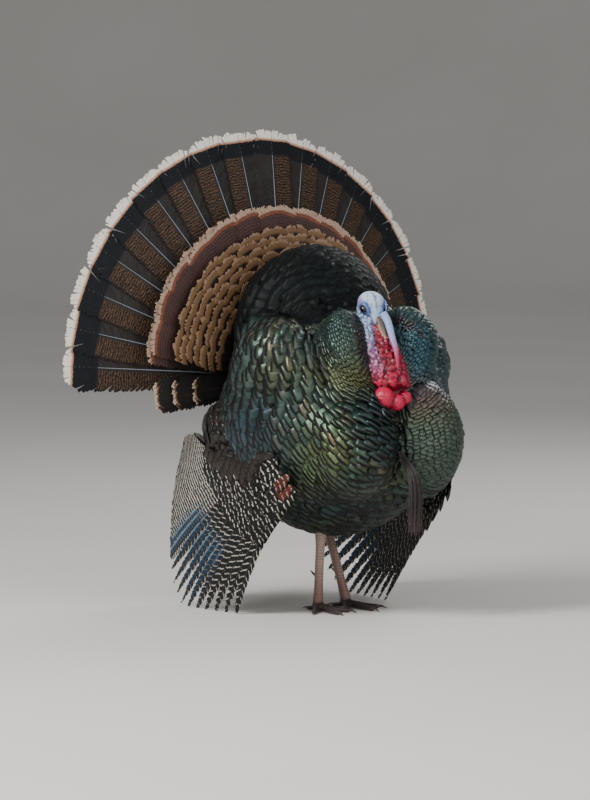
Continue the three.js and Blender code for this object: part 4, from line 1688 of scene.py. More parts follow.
@dataclass
class Wing:
    """One drooped wing: primaries to the floor, secondaries behind them and coverts over their roots."""

    name: str
    tips: tuple = (
        (178, 50, -8),
        (186, 140, -8),
        (187, 226, -5),
        (176, 282, 42),
        (164, 308, 120),
        (150, 314, 205),
        (138, 300, 285),
    )
    roots: tuple = ((168, -66, 190), (174, -56, 222), (180, -18, 246), (186, 40, 262), (176, 120, 290))
    bulge: float = 12.0
    sweep: float = 26.0
    share: float = 0.56
    primaries: int = 10
    secondaries: int = 14

    def __post_init__(self) -> None:
        """Fits the curves of the roots and tips."""
        self.side = -1 if self.name == "right" else 1
        self.shift = np.array([0, 0, 0] if self.side < 0 else [-20, 48, 0], float)
        self.tip_path, self.root_path = Path(self.tips), Path(self.roots)

    def at(self, u: Array, t: Array) -> Array:
        """Points of the wing's sheet: share u from the leading primary inwards, share t to the tips.

        Args:
            u: the shares across.
            t: the shares along.

        Returns:
            The points (n, 3).
        """
        u, t = np.broadcast_arrays(np.asarray(u, float), np.asarray(t, float))
        row = np.clip(u.ravel(), 0, 1)
        root = self.root_path.at(row)
        tip = self.tip_path.at(row) + self.shift * (1 - 0.8 * row)[:, None]
        bend = root + (tip - root) * 0.52
        bulge = np.full(len(row), self.bulge)
        bend = bend + np.stack([bulge, self.sweep * (1 - row), bulge], axis=1)
        w = t.ravel()[:, None]
        point = root * (1 - w) ** 2 + 2 * bend * w * (1 - w) + tip * w * w
        return (point * np.array([self.side, 1, 1])).reshape(u.shape + (3,))

    def placer(self, u: float, first: float, last: float, reach: float, lift: float, roll: float) -> Callable:
        """The function that lays a quill's own plane on the sheet.

        Args:
            u: where the quill is in the row.
            first: its root's share of the way to the tips.
            last: its tip's share.
            reach: its length.
            lift: how far it stands off the sheet.
            roll: how much it rises per millimetre towards the body.

        Returns:
            A function of places across, along and above the feather.
        """

        def place(x: Array, y: Array, z: Array) -> Array:
            """Points of the bird."""
            t = first + (last - first) * y / reach
            here = self.at(u, t)
            ahead = unit(self.at(u, t + 0.01) - self.at(u, t - 0.01))
            inward = self.at(min(u + 0.02, 1), t) - self.at(max(u - 0.02, 0), t)
            inward = unit(inward - (inward * ahead).sum(1, keepdims=True) * ahead)
            out = np.cross(ahead, inward) * -self.side
            out = np.where(out[:, :1] * self.side < 0, -out, out)
            rise = z + lift + roll * x
            return here + inward * x[:, None] + out * rise[:, None]

        return place

    def pitch(self, u: float, step: float, t: float) -> float:
        """The distance between neighbouring quills at a share of their length."""
        pair = self.at(np.array([max(u - step / 2, 0), min(u + step / 2, 1)]), np.array([t, t]))
        return float(np.linalg.norm(pair[1] - pair[0]))

    def build(self) -> None:
        """Makes the wing's pieces."""
        rng = np.random.default_rng(SEED + (31 if self.side < 0 else 37))
        sheaf = Sheaf()
        step = self.share / self.primaries
        for i in range(self.primaries):
            u = (i + 0.5) * step
            reach = float(np.linalg.norm(self.at(u, 1.0) - self.at(u, 0.0)))
            wide = self.pitch(u, step, 0.85)
            quill = Quill(reach, wide * 0.45, wide * 0.60, **PRIMARY_VANE)
            last = 1.0 + rng.uniform(-0.012, 0.0)
            place = self.placer(u, 0.02, last, reach, 0.8 + 0.35 * (i % 2), 0.05)
            patch = (i / 10 + 0.003, 0.01, 0.094, 0.98)
            blue = float(ease(0.2, 0.34, u))
            quill.lay(sheaf, place, patch, rng, seed=rng.uniform(0, 50), reach=reach, blue=blue)
        finish = BarredQuill("barred_primary_quill_" + self.name)
        made = sheaf.build("primary_quills_" + self.name)
        dress(made, finish.material(), "wing_quills", "primaries_" + self.name)
        sheaf = Sheaf()
        step = (1 - self.share) / self.secondaries
        for i in range(self.secondaries):
            u = self.share + (i + 0.5) * step
            reach = float(np.linalg.norm(self.at(u, 1.0) - self.at(u, 0.0)))
            wide = self.pitch(u, step, 0.85)
            quill = Quill(reach, wide * 0.7, wide * 1.1, **SECONDARY_VANE)
            place = self.placer(u, 0.03, 1.0 - rng.uniform(0, 0.02), reach, 1.2 + 0.12 * i, 0.05)
            patch = (i / 14 + 0.002, 0.01, 0.066, 0.98)
            blue = float(ease(0.66, 0.6, u))
            quill.lay(sheaf, place, patch, rng, seed=rng.uniform(0, 50), reach=reach, blue=blue)
        finish = BarredQuill("barred_secondary_quill_" + self.name, 9.0, 0.36, 14.0, 8.0)
        made = sheaf.build("secondary_quills_" + self.name)
        dress(made, finish.material(), "wing_coverts", "wing_" + self.name)


@dataclass
class WingShield:
    """The rounded shield of coverts over the roots of a wing's quills."""

    CAP_ROW = 99
    wing: Wing
    at: tuple = (184, 86, 258)
    r: tuple = (11, 122, 62)
    top: tuple = (170, 106, 316)
    top_r: tuple = (28, 74, 50)
    top_step: float = 13.0
    tilt: float = 10.0
    step: float = 0.052
    width: float = 17.0
    long_rows: int = 4
    lengths: tuple = (58.0, 40.0)

    def stand(self, p: Array) -> Array:
        """Points moved out to the shield's surface where it lies over the sheet.

        Args:
            p: the points (n, 3).

        Returns:
            The moved points.
        """
        a = math.radians(self.tilt)
        y, z = p[:, 1] - self.at[1], p[:, 2] - self.at[2]
        along, up = y * math.cos(a) + z * math.sin(a), -y * math.sin(a) + z * math.cos(a)
        inside = np.maximum(1 - (along / self.r[1]) ** 2 - (up / self.r[2]) ** 2, 0)
        shield = np.where(inside > 0, self.at[0] + self.r[0] * np.sqrt(inside), 0)
        out = np.maximum(np.abs(p[:, 0]) + 5.0, shield)
        return np.stack([out * self.wing.side, p[:, 1], p[:, 2]], axis=1)

    def cap(self) -> dict:
        """The coverts over the wing's shoulder, between the shield and the flank.

        Returns:
            Its feathers' places, directions and rows, by name.
        """
        y, z = np.meshgrid(np.arange(38, 178, self.width), np.arange(266, 362, self.top_step))
        y = (y + self.width / 2 * (np.arange(y.shape[0]) % 2)[:, None]).ravel()
        z = z.ravel() + 0.05 * y
        q = np.stack([(y - self.top[1]) / self.top_r[1], (z - self.top[2]) / self.top_r[2]], axis=1)
        inside = 1 - (q**2).sum(1)
        y, z, q, inside = (v[inside > 0.02] for v in (y, z, q, inside))
        x = self.top[0] + self.top_r[0] * np.sqrt(inside)
        out = unit(np.stack([np.sqrt(inside), q[:, 0], q[:, 1]], axis=1) / np.array(self.top_r))
        down = np.array([0, 0.75, -1.0])
        way = down - (down * out).sum(1, keepdims=True) * out
        mirror = np.array([self.wing.side, 1, 1])
        bake = np.stack([0.25 + y / 300, np.clip((360 - z) / 800 + 0.8, 0, 1)], axis=1)
        return {
            "point": np.stack([x, y, z], axis=1) * mirror,
            "along": unit(way) * mirror,
            "up": out * mirror,
            "bake": bake,
            "row": np.full(len(y), self.CAP_ROW),
        }

    def rows(self) -> dict:
        """The rows of coverts over the quills' roots and those of the cap.

        Returns:
            Their places, directions and row numbers, by name.
        """
        spots: dict[str, list] = {"point": [], "along": [], "up": [], "bake": [], "row": []}
        for row, tip in enumerate(np.arange(0.36, -0.22, -self.step)):
            line = self.stand(self.wing.at(np.linspace(0, 1, 60), np.full(60, tip)))
            run = np.concatenate([[0], np.cumsum(np.linalg.norm(np.diff(line, axis=0), axis=1))])
            count = int(run[-1] / self.width)
            middle = (np.arange(count) + 0.5 + 0.25 * (-1) ** row) / count * run[-1]
            u = np.interp(middle, run, np.linspace(0, 1, 60))
            here = self.stand(self.wing.at(u, np.full(count, tip)))
            back = self.stand(self.wing.at(u, np.full(count, tip - 0.08)))
            side = self.stand(self.wing.at(np.clip(u + 0.03, 0, 1), np.full(count, tip)))
            up = unit(np.cross(side - here, here - back))
            up = np.where(up[:, :1] * self.wing.side < 0, -up, up)
            spots["point"].append(here)
            spots["along"].append(unit(here - back))
            spots["up"].append(up)
            spots["bake"].append(np.stack([u, np.full(count, (tip + 0.25) / 0.8)], axis=1))
            spots["row"].append(np.full(count, row))
        for name, block in self.cap().items():
            spots[name].append(block)
        found = {k: np.concatenate(v) for k, v in spots.items()}
        y, z = found["point"][:, 1], found["point"][:, 2]
        under_flank = z < np.interp(y, [-72, -66, -10, 100, 180], [0, 226, 292, 352, 372])
        seen = (y < 172) & (found["row"] == self.CAP_ROW) | (y < 158) & under_flank
        return {k: v[seen] for k, v in found.items()}

    def build(self, scatter: Scatter) -> None:
        """Makes the shield and the barred row at its lower edge.

        Args:
            scatter: what lays the feathers.
        """
        rng = np.random.default_rng(SEED + 50 + self.wing.side)
        found = self.rows()
        y, z = found["point"][:, 1], found["point"][:, 2]
        count = len(found["point"])
        length = np.where(found["row"] < self.long_rows, *self.lengths) * rng.uniform(0.92, 1.08, count)
        along = turned(found["along"], found["up"], rng.normal(0, 3, count))
        sag, sink = 0.06 * length, np.full(count, 5.0)
        way = unit(along * length[:, None] + found["up"] * (sink + 2 * sag)[:, None])
        tint = linear("#241d19") * np.exp(rng.normal(0, 0.15, count))[:, None]
        sheen = linear("#3c312b") * np.exp(rng.normal(0, 0.15, count))[:, None]
        whole = {
            "point": found["point"] - along * length[:, None] - found["up"] * (sag + sink)[:, None],
            "along": way,
            "up": turned(found["up"], way, rng.normal(0, 3, count)),
            "size": np.stack([np.full(count, self.width * 1.55), length, sag / Plate.bend], axis=1),
            "bake": found["bake"],
            "kind": rng.integers(0, 3, count),
        }
        values = {
            "tint": tint,
            "sheen": sheen,
            "rim": np.broadcast_to(linear("#0c0a09"), (count, 3)).copy(),
            "edge": 1.6 / length,
            "seed": rng.uniform(0, 50, count),
            "reach": length,
            "blue": np.zeros(count),
            "rust": 0.55 * ease(-46, -58, y) * ease(200, 212, z) * ease(246, 236, z),
        }
        plain = BodyFeather("bronze_wing_covert", metal=0.35, rough=0.42).material()
        barred = BarredQuill("barred_greater_covert", 11.0, 0.14, 8.0, 4.0).material()
        smooth = z > np.interp(y, [-60, -15, 20, 100, 170], [420, 262, 232, 236, 275])
        for name, keep, finish in (("wing_coverts_", smooth, plain), ("barred_coverts_", ~smooth, barred)):
            part = {k: v[keep] for k, v in whole.items()}
            part["values"] = {k: v[keep] for k, v in values.items()}
            piece = scatter.piece(name + self.wing.name, part, finish)
            dress(piece, finish, "wing_coverts", "wing_" + self.wing.name)


# ---------------------------------------------------------------- flesh


@dataclass
class Blob:
    """A ball or a chain of balls of flesh, with its colour and how wet it looks."""

    places: Array
    radii: Array
    colours: Array
    wet: float = 0.0


class Flesh:
    """Gathers blobs, melts them into one closed skin and colours it."""

    def __init__(self, voxel: float) -> None:
        """Starts with nothing.

        Args:
            voxel: the size of the cubes that it is melted with, in millimetres.
        """
        self.voxel = voxel
        self.blobs: list[Blob] = []
        self.points: list[Array] = []
        self.faces: list[Array] = []
        self.count = 0

    def shape(self, points: Array, faces: Array) -> None:
        """Adds a closed shape to be melted in.

        Args:
            points: its points (n, 3).
            faces: the indices of each face's corners.
        """
        self.points.append(points)
        self.faces.append(faces + self.count)
        self.count += len(points)

    def ball(self, at: tuple, r: float, colour: Array, wet: float = 0.0, squash: tuple = (1, 1, 1)) -> None:
        """Adds a ball.

        Args:
            at: its centre.
            r: its radius.
            colour: its colour.
            wet: how wet it is, from 0 to 1.
            squash: its stretch along each axis.
        """
        points, faces = ball_mesh(14, 10)
        at = np.asarray(at, float)
        self.shape(points * r * np.array(squash) + at, faces)
        self.blobs.append(Blob(at[None, :], np.array([r]), np.asarray(colour)[None, :], wet))

    def tube(
        self, path: Path, size: Callable, colours: Callable, wet: float = 0.0, wide: tuple = (1, 0, 0)
    ) -> None:
        """Adds a bar along a path.

        Args:
            path: its middle line.
            size: gives half its width and half its depth at shares of the length.
            colours: gives its colour at shares of the length.
            wet: how wet it looks.
            wide: the direction of its width.
        """
        t = np.linspace(0, 1, max(int(path.length / 4), 8))
        points, faces = loft(path, t, size, wide, 20)
        self.shape(points, faces)
        half = np.array([np.mean(size(v)) for v in t])
        self.blobs.append(Blob(path.along(t), half, np.array([colours(v) for v in t]), wet))

    def melt(self, name: str) -> bpy.types.Mesh:
        """One closed mesh of all shapes, rounded where they meet.

        Args:
            name: the mesh's name.

        Returns:
            The mesh.
        """
        mesh = bpy.data.meshes.new(name)
        faces = [row for block in self.faces for row in block.tolist()]
        mesh.from_pydata((np.concatenate(self.points) * MM + SHIFT).tolist(), [], faces)
        face_out(mesh)
        made = finished(mesh, name, True)
        remesh = made.modifiers.new("melt", "REMESH")
        remesh.mode, remesh.voxel_size = "VOXEL", self.voxel * MM
        soft = made.modifiers.new("soften", "SMOOTH")
        soft.factor, soft.iterations = 0.5, 3
        ready = bpy.context.evaluated_depsgraph_get()
        result = bpy.data.meshes.new_from_object(made.evaluated_get(ready), depsgraph=ready)
        bpy.data.objects.remove(made)
        return result

    def colour(self, p: Array) -> tuple:
        """The colour and wetness at points, from the blobs nearest to them.

        Args:
            p: the points (n, 3).

        Returns:
            The colours (n, 3) and the wetness (n).
        """
        total = np.zeros(len(p))
        paint, wet = np.zeros((len(p), 3)), np.zeros(len(p))
        for blob in self.blobs:
            balls = zip(blob.places, blob.radii)
            gap = np.stack([np.linalg.norm(p - at, axis=1) - r for at, r in balls], axis=1)
            near = np.argmin(gap, axis=1)
            weight = np.exp(-np.maximum(gap[np.arange(len(p)), near], -1.0) / 1.1)
            total += weight
            paint += weight[:, None] * blob.colours[near]
            wet += weight * blob.wet
        return paint / total[:, None], wet / total


def ball_mesh(around: int, down: int) -> tuple:
    """A unit ball's points and faces, its poles closed.

    Args:
        around: how many points go round it.
        down: how many rings it has, with both poles.

    Returns:
        The points and the indices of each face's corners.
    """
    a = np.arange(around) / around * 2 * math.pi
    b = np.arange(1, down) / down * math.pi
    wide, high = np.sin(b), np.outer(np.cos(b), np.ones(around))
    ring = np.stack([np.outer(wide, np.cos(a)), np.outer(wide, np.sin(a)), high], axis=-1)
    points = np.concatenate([ring.reshape(-1, 3), [[0, 0, 1], [0, 0, -1]]])
    k, nxt = np.arange(around), np.roll(np.arange(around), -1)
    faces = []
    for r in range(down - 2):
        lo, hi = r * around, (r + 1) * around
        faces.append(np.stack([lo + k, hi + k, hi + nxt, lo + nxt], axis=1))
    top, bottom = len(points) - 2, len(points) - 1
    last = (down - 2) * around
    faces.append(np.stack([np.full(around, top), k, nxt, nxt], axis=1))
    faces.append(np.stack([np.full(around, bottom), last + nxt, last + k, last + k], axis=1))
    quads = np.concatenate(faces)
    return points, quads


def loft(path: Path, t: Array, size: Callable, wide: tuple, sides: int) -> tuple:
    """A closed bar's points and faces: rings along a path, and a point at each end.

    Args:
        path: the line that it follows.
        t: the shares of the rings.
        size: gives the half sizes at a share.
        wide: the direction of its width.
        sides: how many points a ring has.

    Returns:
        The points and the indices of each face's corners.
    """
    a = np.arange(sides) / sides * 2 * math.pi
    way = path.way(t)
    depth = unit(np.cross(way, np.array(wide, float)))
    width = unit(np.cross(depth, way))
    half = np.array([size(v) for v in t])
    rings = (
        path.along(t)[:, None, :]
        + np.cos(a)[None, :, None] * (width * half[:, :1])[:, None, :]
        + np.sin(a)[None, :, None] * (depth * half[:, 1:])[:, None, :]
    )
    ends = [0, -1]
    bulge = 0.4 * half[ends].mean(1, keepdims=True) * np.array([[-1.0], [1.0]])
    caps = path.along(t[ends]) + way[ends] * bulge
    points = np.concatenate([rings.reshape(-1, 3), caps])
    k, nxt = np.arange(sides), np.roll(np.arange(sides), -1)
    faces = [
        np.stack([r * sides + k, r * sides + nxt, (r + 1) * sides + nxt, (r + 1) * sides + k], axis=1)
        for r in range(len(t) - 1)
    ]
    first, last, end = len(points) - 2, len(points) - 1, (len(t) - 1) * sides
    faces.append(np.stack([np.full(sides, first), nxt, k, k], axis=1))
    faces.append(np.stack([np.full(sides, last), end + k, end + nxt, end + nxt], axis=1))
    return points, np.concatenate(faces)


@dataclass(frozen=True)
class SkinFinish:
    """Bare skin: soft and finely pebbled on the head, wet-looking where it is swollen with blood."""

    name: str = "bare_head_and_leg_skin"

    def material(self) -> bpy.types.Material:
        """Its nodes.

        Returns:
            The material.
        """
        s = Shades(self.name)
        where = s.add(Do.PLACE)
        pebble = s.add(Do.CELLS, where, 900.0)
        fine = s.add(Do.NOISE, where, 320.0, 3.0)
        wet = s.add(Do.READ, attribute_name="wet")
        paint = s.add(Do.READ_COLOUR, attribute_name="paint")
        pale = s.add(Do.MULTIPLY, s.add(Do.STEP, fine, 0.35, 0.7), 0.22)
        colour = s.add(Do.OVERLAY, pale, paint, "#ffffff")
        height = s.add(Do.ADD, fine, s.add(Do.MULTIPLY, pebble, 0.6))
        bump = s.add(Do.BUMP, 0.35, 0.0006, height)
        return s.finish(
            {
                "Base Color": colour,
                "Roughness": s.add(Do.MULTIPLY_ADD, wet, -0.2, 0.52),
                "Subsurface Weight": 0.12,
                "Subsurface Scale": 0.004,
                "Normal": bump,
            }
        )


@dataclass(frozen=True)
class Fade:
    """Hues along a form: the first one, then (low, high, hue) for each that takes over between two shares."""

    first: Array
    steps: tuple = ()

    def at(self, t: Array) -> Array:
        """The hue at a share of the form's length.

        Args:
            t: the shares of the form's length.

        Returns:
            The hue at each one.
        """
        hue = self.first
        for low, high, later in self.steps:
            hue = between(hue, later, ease(low, high, t))
        return hue


def around(path: Path, t: float, a: float) -> Array:
    """The direction out of a path at a share of its length and an angle round it.

    Args:
        path: the path.
        t: the share of its length.
        a: the angle round it, in radians.

    Returns:
        The unit direction.
    """
    way = path.way(t)[0]
    side = unit(np.cross(way, [0, -1, 0]))
    return side * math.cos(a) + np.cross(side, way) * math.sin(a)


def fold_half(t: float, least: float = 9.0) -> tuple:
    """Half sizes of the bunched skin behind the neck, at a share of its length."""
    half = least + 4.5 * t**0.6
    return half, half


def throat_half(t: float) -> tuple:
    """Half sizes of the throat at a share of its length."""
    return 12 + 14 * min(t * 1.7, 1), 9 + 8 * t


def snood_half(t: float) -> tuple:
    """Half sizes of the snood at a share of its length."""
    thin, end = 1 - 0.5 * t, (1 - 0.85 * t**10) ** 0.5
    return 7.6 * thin * end, 6.8 * thin * end


def shank_half(t: float) -> tuple:
    """Half sizes of a leg at a share of its length, thicker at the hock and at the foot."""
    joint = 1 + 0.5 * math.exp(-(((t - 0.22) / 0.13) ** 2)) + 0.22 * math.exp(-(((t - 1) / 0.1) ** 2))
    return 8.2 * joint * 0.92, 8.2 * joint


def toe_half(r: float, t: float) -> tuple:
    """Half sizes of a toe at a share of its length, from the radius of its root."""
    return r * (1.05 - 0.32 * t), r * (1 - 0.34 * t)


@dataclass
class Skin:
    """All flesh as one skin: the trunk under the coat, the head with its neck and caruncles, and the legs."""

    coat_depth: float = 13.0
    neck: tuple = (
        (-12, -98, 540),
        (-13, -110, 502),
        (-12, -124, 462),
        (-7, -140, 425),
        (0, -148, 388),
        (0, -128, 352),
    )
    neck_radius: float = 26.0
    throat: tuple = ((-11, -137, 483), (-9, -154, 448), (-7, -170, 404))
    snood_root: tuple = ((7, -31, 9), (10, -45, 8))
    snood: tuple = ((-4, -160, 486), (-4, -170, 468), (-6, -178, 450), (-8, -183, 433))
    caruncles: tuple = (((-32, -175, 385), 19.5), ((-10, -183, 377), 14.5), ((8, -180, 384), 12.5))
    head_grain: float = 1.25
    leg_grain: float = 1.6
    neck_count: int = 260
    fold_count: int = 330
    throat_count: int = 190
    stands: tuple = ((-36, 24, (-37, 14, 152), 6), (36, 45, (37, 112, 150), -4))
    toes: tuple = ((0, 78, 6.6), (34, 58, 6.0), (-34, 60, 6.0), (172, 30, 4.8))

    def build(self) -> None:
        """Makes the skin."""
        head = self.head()
        legs = self.legs()
        trunk = self.trunk()
        parts = [head, legs, trunk]
        sheaf_points = np.concatenate([p for p, *_ in parts])
        faces, offset = [], 0
        for p, f, *_ in parts:
            faces += [tuple(k + offset for k in row) for row in f]
            offset += len(p)
        mesh = bpy.data.meshes.new("skin")
        mesh.from_pydata((sheaf_points * MM + SHIFT).tolist(), [], faces)
        put_values(mesh, "paint", np.concatenate([q[2] for q in parts]))
        put_values(mesh, "wet", np.concatenate([q[3] for q in parts]))
        skin = finished(mesh, "skin", True)
        solids = ["trunk", "head", "neck", "throat", "snood"]
        solids += [f"caruncle_{side}" for side in ("right", "middle", "left")]
        solids += [f"{part}_{side}" for part in ("leg", "foot") for side in ("right", "left")]
        dress(skin, SkinFinish().material(), "head_skin", *solids)

    def trunk(self) -> tuple:
        """The trunk's skin, under the coat by its depth.

        Returns:
            Its points, faces, colours and wetness.
        """
        ways, faces = ball_mesh(96, 64)
        p = TRUNK.surface(ways)
        p = p - TRUNK.normal(p) * self.coat_depth
        rows = [tuple(dict.fromkeys(row)) for row in faces.tolist()]
        return p, rows, np.broadcast_to(linear("#1b1817"), p.shape), np.zeros(len(p))

    def head(self) -> tuple:
        """Head, neck, throat, snood and caruncles.

        Returns:
            Their points, faces, colours and wetness.
        """
        rng = np.random.default_rng(SEED + 70)
        flesh = Flesh(self.head_grain)
        white, blue, deep = linear("#b4c6d8"), linear("#8298c6"), linear("#20283f")
        lilac, pink, mauve = linear("#8087b8"), linear("#a25a80"), linear("#8f4672")
        red, coral = linear("#86062a"), linear("#b0143c")
        ways, faces = ball_mesh(40, 28)
        flesh.shape(on_head(SKULL.surface(ways)), faces)
        cheeks = (((12, -6, -12), 13, blue), ((-12, -6, -12), 13, blue))
        for at, r, colour in (((0, 2, 2), 17, white), ((0, -26, -3), 10, blue), *cheeks):
            flesh.blobs.append(Blob(on_head(np.array([at])), np.array([r]), colour[None, :], 0.1))
        for side in (-1, 1):
            self.lids(flesh, side, deep)
        neck = Path(self.neck)
        gullet = Path([on_head((0, -22, -14)), *self.throat])
        snood = Path([on_head(p) for p in self.snood_root] + list(self.snood))
        down_neck = Fade(blue, ((0.1, 0.34, pink), (0.3, 0.55, red)))
        down_fold = Fade(blue, ((0.0, 0.3, lilac), (0.2, 0.6, mauve), (0.6, 0.95, red)))
        down_snood = Fade(linear("#8d9fcb"), ((0.3, 0.85, linear("#a32348")),))
        flesh.tube(neck, self.neck_half, down_neck.at, 0.2)
        flesh.tube(NECK_FOLD, fold_half, down_fold.at, 0.3)
        flesh.tube(gullet, throat_half, Fade(red).at, 0.8)
        flesh.tube(snood, snood_half, down_snood.at, 0.35)
        for at, r in self.caruncles:
            flesh.ball(at, r, coral, 1.0)
        self.neck_beads(flesh, rng, neck)
        self.fold_beads(flesh, rng)
        self.throat_beads(flesh, rng, gullet)
        mesh = flesh.melt("head_flesh")
        p = mesh_points(mesh)
        paint, wet = flesh.colour(p)
        n = mesh_normals(mesh)
        # painted shade in the creases between the beads, painted highlights on their crowns
        paint = self.painted_shade_and_highlight(mesh, p, n, paint)
        p, paint = self.wrinkle(p, n, paint, wet)
        rows = [tuple(q.vertices) for q in mesh.polygons]
        return p, rows, paint, wet

    def lids(self, flesh: Flesh, side: int, colour: Array) -> None:
        """The rings of skin round an eye.

        Args:
            flesh: what they are added to.
            side: -1 for the bird's right or 1 for its left.
            colour: the inner ring's colour.
        """
        at = np.array([side * EYE_AT[0], EYE_AT[1], EYE_AT[2]], float)
        out = unit(np.array([side, -0.28, 0.12]))
        fore = unit(np.cross(out, [0, 0, 1]))
        high = np.cross(fore, out)
        for ring, r, lift, shade in ((7.1, 1.5, 3.0, colour), (9.8, 1.6, 1.0, linear("#5f7cba"))):
            for k in range(26):
                a = k / 26 * 2 * math.pi
                spot = at + out * lift + fore * ring * 1.15 * math.cos(a) + high * ring * 0.88 * math.sin(a)
                flesh.ball(on_head(spot), r, shade, 0.3)

    def neck_half(self, t: float) -> tuple:
        """Half sizes of the neck at a share of its length."""
        half = self.neck_radius * (0.8 + 0.28 * t)
        return half * 1.02, half

    def neck_beads(self, flesh: Flesh, rng: np.random.Generator, neck: Path) -> None:
        """Small fleshy beads down the neck.

        Args:
            flesh: what they are added to.
            rng: the source of chance.
            neck: the neck's middle line.
        """
        hues = Fade(linear("#a8bada"), ((0.12, 0.36, linear("#b06a90")), (0.34, 0.55, linear("#8c082a"))))
        for _ in range(self.neck_count):
            t, a = rng.uniform(0.03, 0.6), rng.uniform(0, 2 * math.pi)
            r = rng.uniform(1.8, 3.2) * (0.8 + 0.9 * t)
            out = around(neck, t, a) * (self.neck_half(t)[1] + 0.2 * r)
            flesh.ball(neck.along(t)[0] + out, r, hues.at(t), 0.3)

    def fold_beads(self, flesh: Flesh, rng: np.random.Generator) -> None:
        """Small beads down the bunched skin behind the neck.

        Args:
            flesh: what they are added to.
            rng: the source of chance.
        """
        red = linear("#8c082a") * 1.5
        hues = Fade(linear("#a3b3d8"), ((0.2, 0.65, linear("#b67c9c")), (0.65, 0.95, red)))
        for _ in range(self.fold_count):
            t, a = rng.uniform(-0.1, 0.98), rng.uniform(0, 2 * math.pi)
            held = np.clip(t, 0, 1)
            out = around(NECK_FOLD, held, a) * fold_half(max(t, 0), 9.3)[0]
            r = rng.uniform(1.5, 2.4) * (1 + 0.6 * max(t, 0))
            flesh.ball(NECK_FOLD.along(held)[0] + out, r, hues.at(t) * rng.uniform(0.8, 1.15), 0.3)

    def throat_beads(self, flesh: Flesh, rng: np.random.Generator, gullet: Path) -> None:
        """Larger fleshy beads down the front and the sides of the throat.

        Args:
            flesh: what they are added to.
            rng: the source of chance.
            gullet: the throat's middle line.
        """
        red = linear("#8c082a")
        for _ in range(self.throat_count):
            t, a = rng.uniform(0.12, 1.02), rng.uniform(-0.15 * math.pi, 1.15 * math.pi)
            way = gullet.way(t)[0]
            side = unit(np.cross(way, [0, -1, 0]))
            front = np.cross(way, side)
            front = front * (1 if front[1] < 0 else -1)
            wide, deep = throat_half(t)
            out = side * math.cos(a) * wide + front * math.sin(a) * deep
            r = rng.uniform(2.0, 3.2) + 4.2 * t**2
            flesh.ball(gullet.along(t)[0] + out, r, red * rng.uniform(0.75, 1.35), 0.9, (1.0, 0.9, 1.15))

    def painted_shade_and_highlight(self, mesh: bpy.types.Mesh, p: Array, n: Array, paint: Array) -> Array:
        """Paints shade into the creases between the beads and paints highlights onto their crowns.

        Args:
            mesh: The melted flesh.
            p: Its points, in the bird's millimetres.
            n: Its normals.
            paint: Its colours.

        Returns:
            The new colours.
        """
        ends = np.empty(len(mesh.edges) * 2, np.int64)
        mesh.edges.foreach_get("vertices", ends)
        a, b = ends.reshape(-1, 2).T
        count = np.maximum(np.bincount(ends, minlength=len(p)), 1)
        hollow = np.zeros(len(p))
        for here, there in ((a, b), (b, a)):
            rise = np.sum((p[there] - p[here]) * n[here], axis=1)
            hollow += np.bincount(here, rise, len(p))
        hollow /= count
        for _ in range(2):
            around = np.bincount(a, hollow[b], len(p)) + np.bincount(b, hollow[a], len(p))
            hollow = 0.5 * hollow + 0.5 * around / count
        # painted shade in the creases, then painted highlights on the crowns
        paint = between(paint, paint * 0.25, 0.95 * ease(-0.01, 0.07, hollow))
        return between(paint, 1 - (1 - paint) * 0.8, 0.4 * ease(0.1, 0.3, -hollow))

    def wrinkle(self, p: Array, n: Array, paint: Array, wet: Array) -> tuple:
        """Folds, with painted shade in the lines between them.

        Args:
            p: the points (n, 3).
            n: the outward directions (n, 3).
            paint: the colours (n, 3).
            wet: the wetness (n).

        Returns:
            The moved points and their colours.
        """
        q = (p - HEAD[:3, 3]) @ HEAD[:3, :3]
        crown = ease(0, 6, q[:, 2]) * ease(24, 12, np.abs(q[:, 1] + 2))
        crease = 1 - np.abs(noise(q / np.array([3.4, 7.0, 5.0]), 11))
        line = ease(0.82, 0.97, crease) * crown
        middle = np.exp(-((q[:, 0] + 1.5 * noise(q / 9, 12)) ** 2) / 2.5) * crown
        fold = 1 - np.abs(noise(p / np.array([9.0, 9.0, 3.4]), 13))
        swollen = wet * ease(0.5, 1.0, fold) * 0.7
        move = -0.35 * line - 0.8 * middle + 0.5 * (swollen - 0.3 * wet) + 0.12 * noise(p / 2.2, 14)
        # a painted shadow line from the front corner of the eye towards the gape
        lore = Path([(15, -19, 0), (13, -27, -2), (9, -38, -2)])
        lore_shade = ease(2.2, 0.6, lore.gap(np.abs(q) * [1, 0, 0] + q * [0, 1, 1]))
        # painted shade in the crown's creases, down its middle and along the lore
        dark = np.clip(0.55 * line + 0.75 * middle + 0.6 * lore_shade, 0, 1)
        rear = np.exp(-(((q[:, 1] - 6) / 7) ** 2) - ((q[:, 2] + 1) / 12) ** 2) * ease(14, 20, np.abs(q[:, 0]))
        paint = between(paint, linear("#a3506c"), 0.55 * rear)
        paint = between(paint, linear("#3c4c68"), dark)
        # painted shade between the swollen folds of the wet skin
        paint = between(paint, paint * 0.55, wet * ease(0.55, 0.2, fold) * 0.6)
        return p + n * move[:, None], paint

